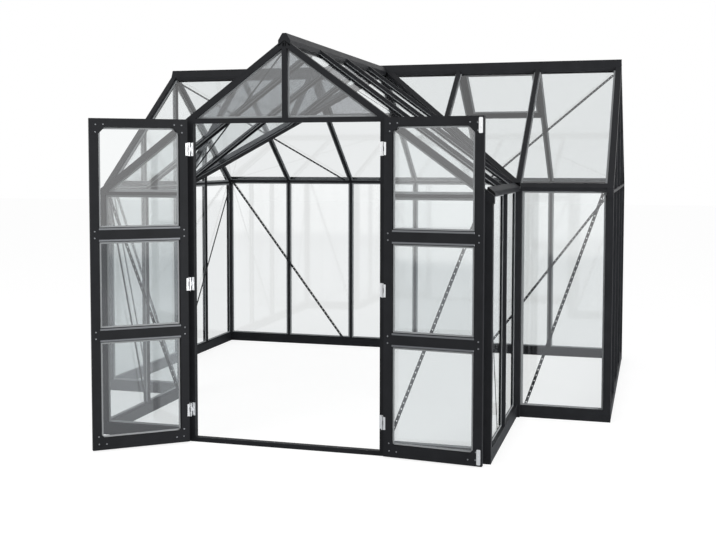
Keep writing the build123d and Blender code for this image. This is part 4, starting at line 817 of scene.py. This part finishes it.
class DriveScrews(bpy.types.Operator):
    """Drives the button-head screws of posts, bars, ridge caps and base rails"""
    bl_idname = "greenhouse.drive_screws"
    bl_label = "Drive the frame screws"

    def execute(self, context):
        sizes = context.scene.greenhouse_sizes
        screws = [*self.post_screws(), *self.bar_screws(), *self.cap_screws(), *self.rail_screws()]
        places, normals = (np.array(part, float) for part in zip(*screws))
        tips = places + normals * sizes.screw_height
        fits = ((tips > np.array(CAD_BOX[0])) & (tips < np.array(CAD_BOX[1]))).all(1)
        heads = [button_heads(places[fits], normals[fits], sizes.screw_radius, sizes.screw_height)]
        fit_piece("house_screws", heads, powder_coat(), "house", smooth=True)
        return {"FINISHED"}

    def post_screws(self):
        """Places and normals of a screw near foot and top of each outer face of a corner post."""
        for points in solids("corner_posts"):
            low, high = points.min(0), points.max(0)
            out = np.sign((low + high) / 2 - MIDDLE)
            for z in (low[2] + POST_FOOT, high[2] - POST_TOP):
                for axis in (1, 0):
                    place, normal = box_face(low, high, axis, out[axis])
                    yield (*place[:2], z), normal

    def bar_screws(self):
        """Places and normals of a screw near both ends of each upright bar, on its inner face."""
        for node, axis in (("bars_back", 1), ("bars_porch", 0), ("bars_gables", 0)):
            for points in solids(node):
                low, high = points.min(0), points.max(0)
                inwards = -np.sign((low + high)[axis] / 2 - MIDDLE[axis])
                place, normal = box_face(low, high, axis, inwards)
                for z in (low[2] + BAR_END, high[2] - BAR_END):
                    yield (*place[:2], z), normal

    def cap_screws(self):
        """Places and normals of two screws side by side on the outer face of each ridge cap."""
        for points in solids("ridge_caps"):
            middle, axes, half = principal_frame(points)
            normal = axes[2] * np.sign(axes[2] @ (middle - MIDDLE))
            side = np.cross(UP, normal)
            for offset in (-CAP_OFFSET, CAP_OFFSET):
                yield middle + normal * half[2] + side * offset, normal

    def rail_screws(self):
        """Places and normals of a screw near both ends of each base rail, on its outer face."""
        for node, axis in (("base_rails_x", 1), ("base_rails_y", 0)):
            for points in solids(node):
                low, high = points.min(0), points.max(0)
                out = np.sign((low + high)[axis] / 2 - MIDDLE[axis])
                along = 1 - axis
                for share in (RAIL_END, 1 - RAIL_END):
                    place, normal = box_face(low, high, axis, out)
                    place[along] = low[along] + share * (high[along] - low[along])
                    yield place, normal


class CapEaves(bpy.types.Operator):
    """Closes the front ends of the porch eave rails with moulded caps"""
    bl_idname = "greenhouse.cap_eaves"
    bl_label = "Cap the eave rails"

    def execute(self, context):
        thick = context.scene.greenhouse_sizes.plate_thickness
        # Right, up and forwards, away from the back wall
        axes = np.array([(1, 0, 0), (0, 0, 1), (0, -1, 0)])
        caps = []
        for points in solids("eaves_porch"):
            front = points[:, 1].min()
            outline = hull(points[points[:, 1] < front + SAME_PLANE][:, ::2])
            caps.append(slab(outline, (0, front, 0), axes, thick, FINE_CHAMFER))
        fit_piece("eave_end_caps", caps, black_rubber(), "house")
        return {"FINISHED"}


class SetStage(bpy.types.Operator):
    """Floor, soft studio light and camera"""
    bl_idname = "greenhouse.set_stage"
    bl_label = "Set the stage"

    def execute(self, context):
        scene = context.scene
        scene.view_settings.view_transform = "Standard"
        scene.cycles.transparent_max_bounces = PANE_FACES
        self.lay_floor()
        self.surround(scene)
        self.hang_lamps(scene)
        self.place_camera(scene)
        return {"FINISHED"}

    def lay_floor(self):
        """A level square under and behind the house."""
        left, right, front, back = -FLOOR_REACH, FLOOR_REACH, FLOOR_FRONT, FLOOR_REACH
        corners = np.array([(left, front, 0), (right, front, 0), (right, back, 0), (left, back, 0)])
        make_mesh("studio_floor", corners, np.array([[0, 1, 2, 3]]), studio_white())

    def surround(self, scene):
        """White walls and ceiling: full strength where seen, dimmer where they light the house.

        Strength is the larger of seen and lit x ceiling, which falls from 1 to its own with slope.
        """
        world = bpy.data.worlds.new("studio_surround")
        scene.world = world
        world.use_nodes = True
        tree = world.node_tree
        tree.nodes.clear()
        path, direct = ray_kinds(tree)
        way = add_node(tree, "ShaderNodeTexCoord").outputs["Generated"]
        upwards = add_node(tree, "ShaderNodeSeparateXYZ", Vector=way).outputs[2]
        ceiling = add_node(tree, "ShaderNodeMapRange",
                           {"From Min": CEILING_START, "To Min": 1.0, "To Max": CEILING},
                           Value=upwards).outputs[0]
        lit = add_node(tree, "ShaderNodeMapRange", {"To Min": WALLS, "To Max": 1.0},
                       Value=path["Is Glossy Ray"]).outputs[0]
        shaded = add_node(tree, "ShaderNodeMath", {"operation": "MULTIPLY"},
                          i0=lit, i1=ceiling).outputs[0]
        level = add_node(tree, "ShaderNodeMath", {"operation": "MAXIMUM"},
                         i0=direct, i1=shaded).outputs[0]
        glow = add_node(tree, "ShaderNodeBackground", {"Color": linear(WHITE)}, Strength=level)
        add_node(tree, "ShaderNodeOutputWorld", Surface=glow.outputs[0])

    def hang_lamps(self, scene):
        """Square softboxes, tilted from looking straight down and turned to their heading."""
        for name, power, size, place, tilt, heading in SOFTBOXES:
            light = bpy.data.lights.new(name, "AREA")
            light.energy = power
            light.size = size
            lamp = bpy.data.objects.new(name, light)
            lamp.location = place
            lamp.rotation_euler = (math.radians(tilt), 0, math.radians(heading))
            scene.collection.objects.link(lamp)

    def place_camera(self, scene):
        """Camera at a standing person's eye height, to the right of the porch and turned to it."""
        camera = bpy.data.cameras.new("studio_camera")
        camera.lens = LENS
        camera.sensor_width = SENSOR
        camera.shift_x, camera.shift_y = SHIFT
        view = bpy.data.objects.new("studio_camera", camera)
        view.location = EYE
        view.rotation_euler = (math.pi / 2 - DIP, 0, TURN)
        scene.collection.objects.link(view)
        scene.camera = view


class GreenhousePanel(bpy.types.Panel):
    """Steps of the greenhouse finish, with the sizes and colours they use"""
    bl_idname = "VIEW3D_PT_greenhouse"
    bl_label = "Glass greenhouse"
    bl_space_type = "VIEW_3D"
    bl_region_type = "UI"
    bl_category = "Greenhouse"

    def draw(self, context):
        for group in (context.scene.greenhouse_sizes, context.scene.greenhouse_colours):
            box = self.layout.box()
            for name in group.__annotations__:
                box.prop(group, name)
        for step in STEPS:
            self.layout.operator(step.bl_idname)


STEPS = (FinishFrame, LayGlazingTape, FitGaskets, PunchBraces, FitLeafPlates, DriveScrews,
         CapEaves, SetStage)
CLASSES = (GreenhouseSizes, GreenhouseColours, *STEPS, GreenhousePanel)


def register():
    for kind in CLASSES:
        bpy.utils.register_class(kind)
    bpy.types.Scene.greenhouse_sizes = bpy.props.PointerProperty(type=GreenhouseSizes)
    bpy.types.Scene.greenhouse_colours = bpy.props.PointerProperty(type=GreenhouseColours)


def unregister():
    del bpy.types.Scene.greenhouse_sizes
    del bpy.types.Scene.greenhouse_colours
    for kind in reversed(CLASSES):
        bpy.utils.unregister_class(kind)


def main():
    register()
    bpy.ops.greenhouse.finish_frame()
    bpy.ops.greenhouse.lay_glazing_tape()
    bpy.ops.greenhouse.fit_gaskets()
    bpy.ops.greenhouse.punch_braces()
    bpy.ops.greenhouse.fit_leaf_plates()
    bpy.ops.greenhouse.drive_screws()
    bpy.ops.greenhouse.cap_eaves()
    bpy.ops.greenhouse.set_stage()


if __name__ == "__main__":
    main()
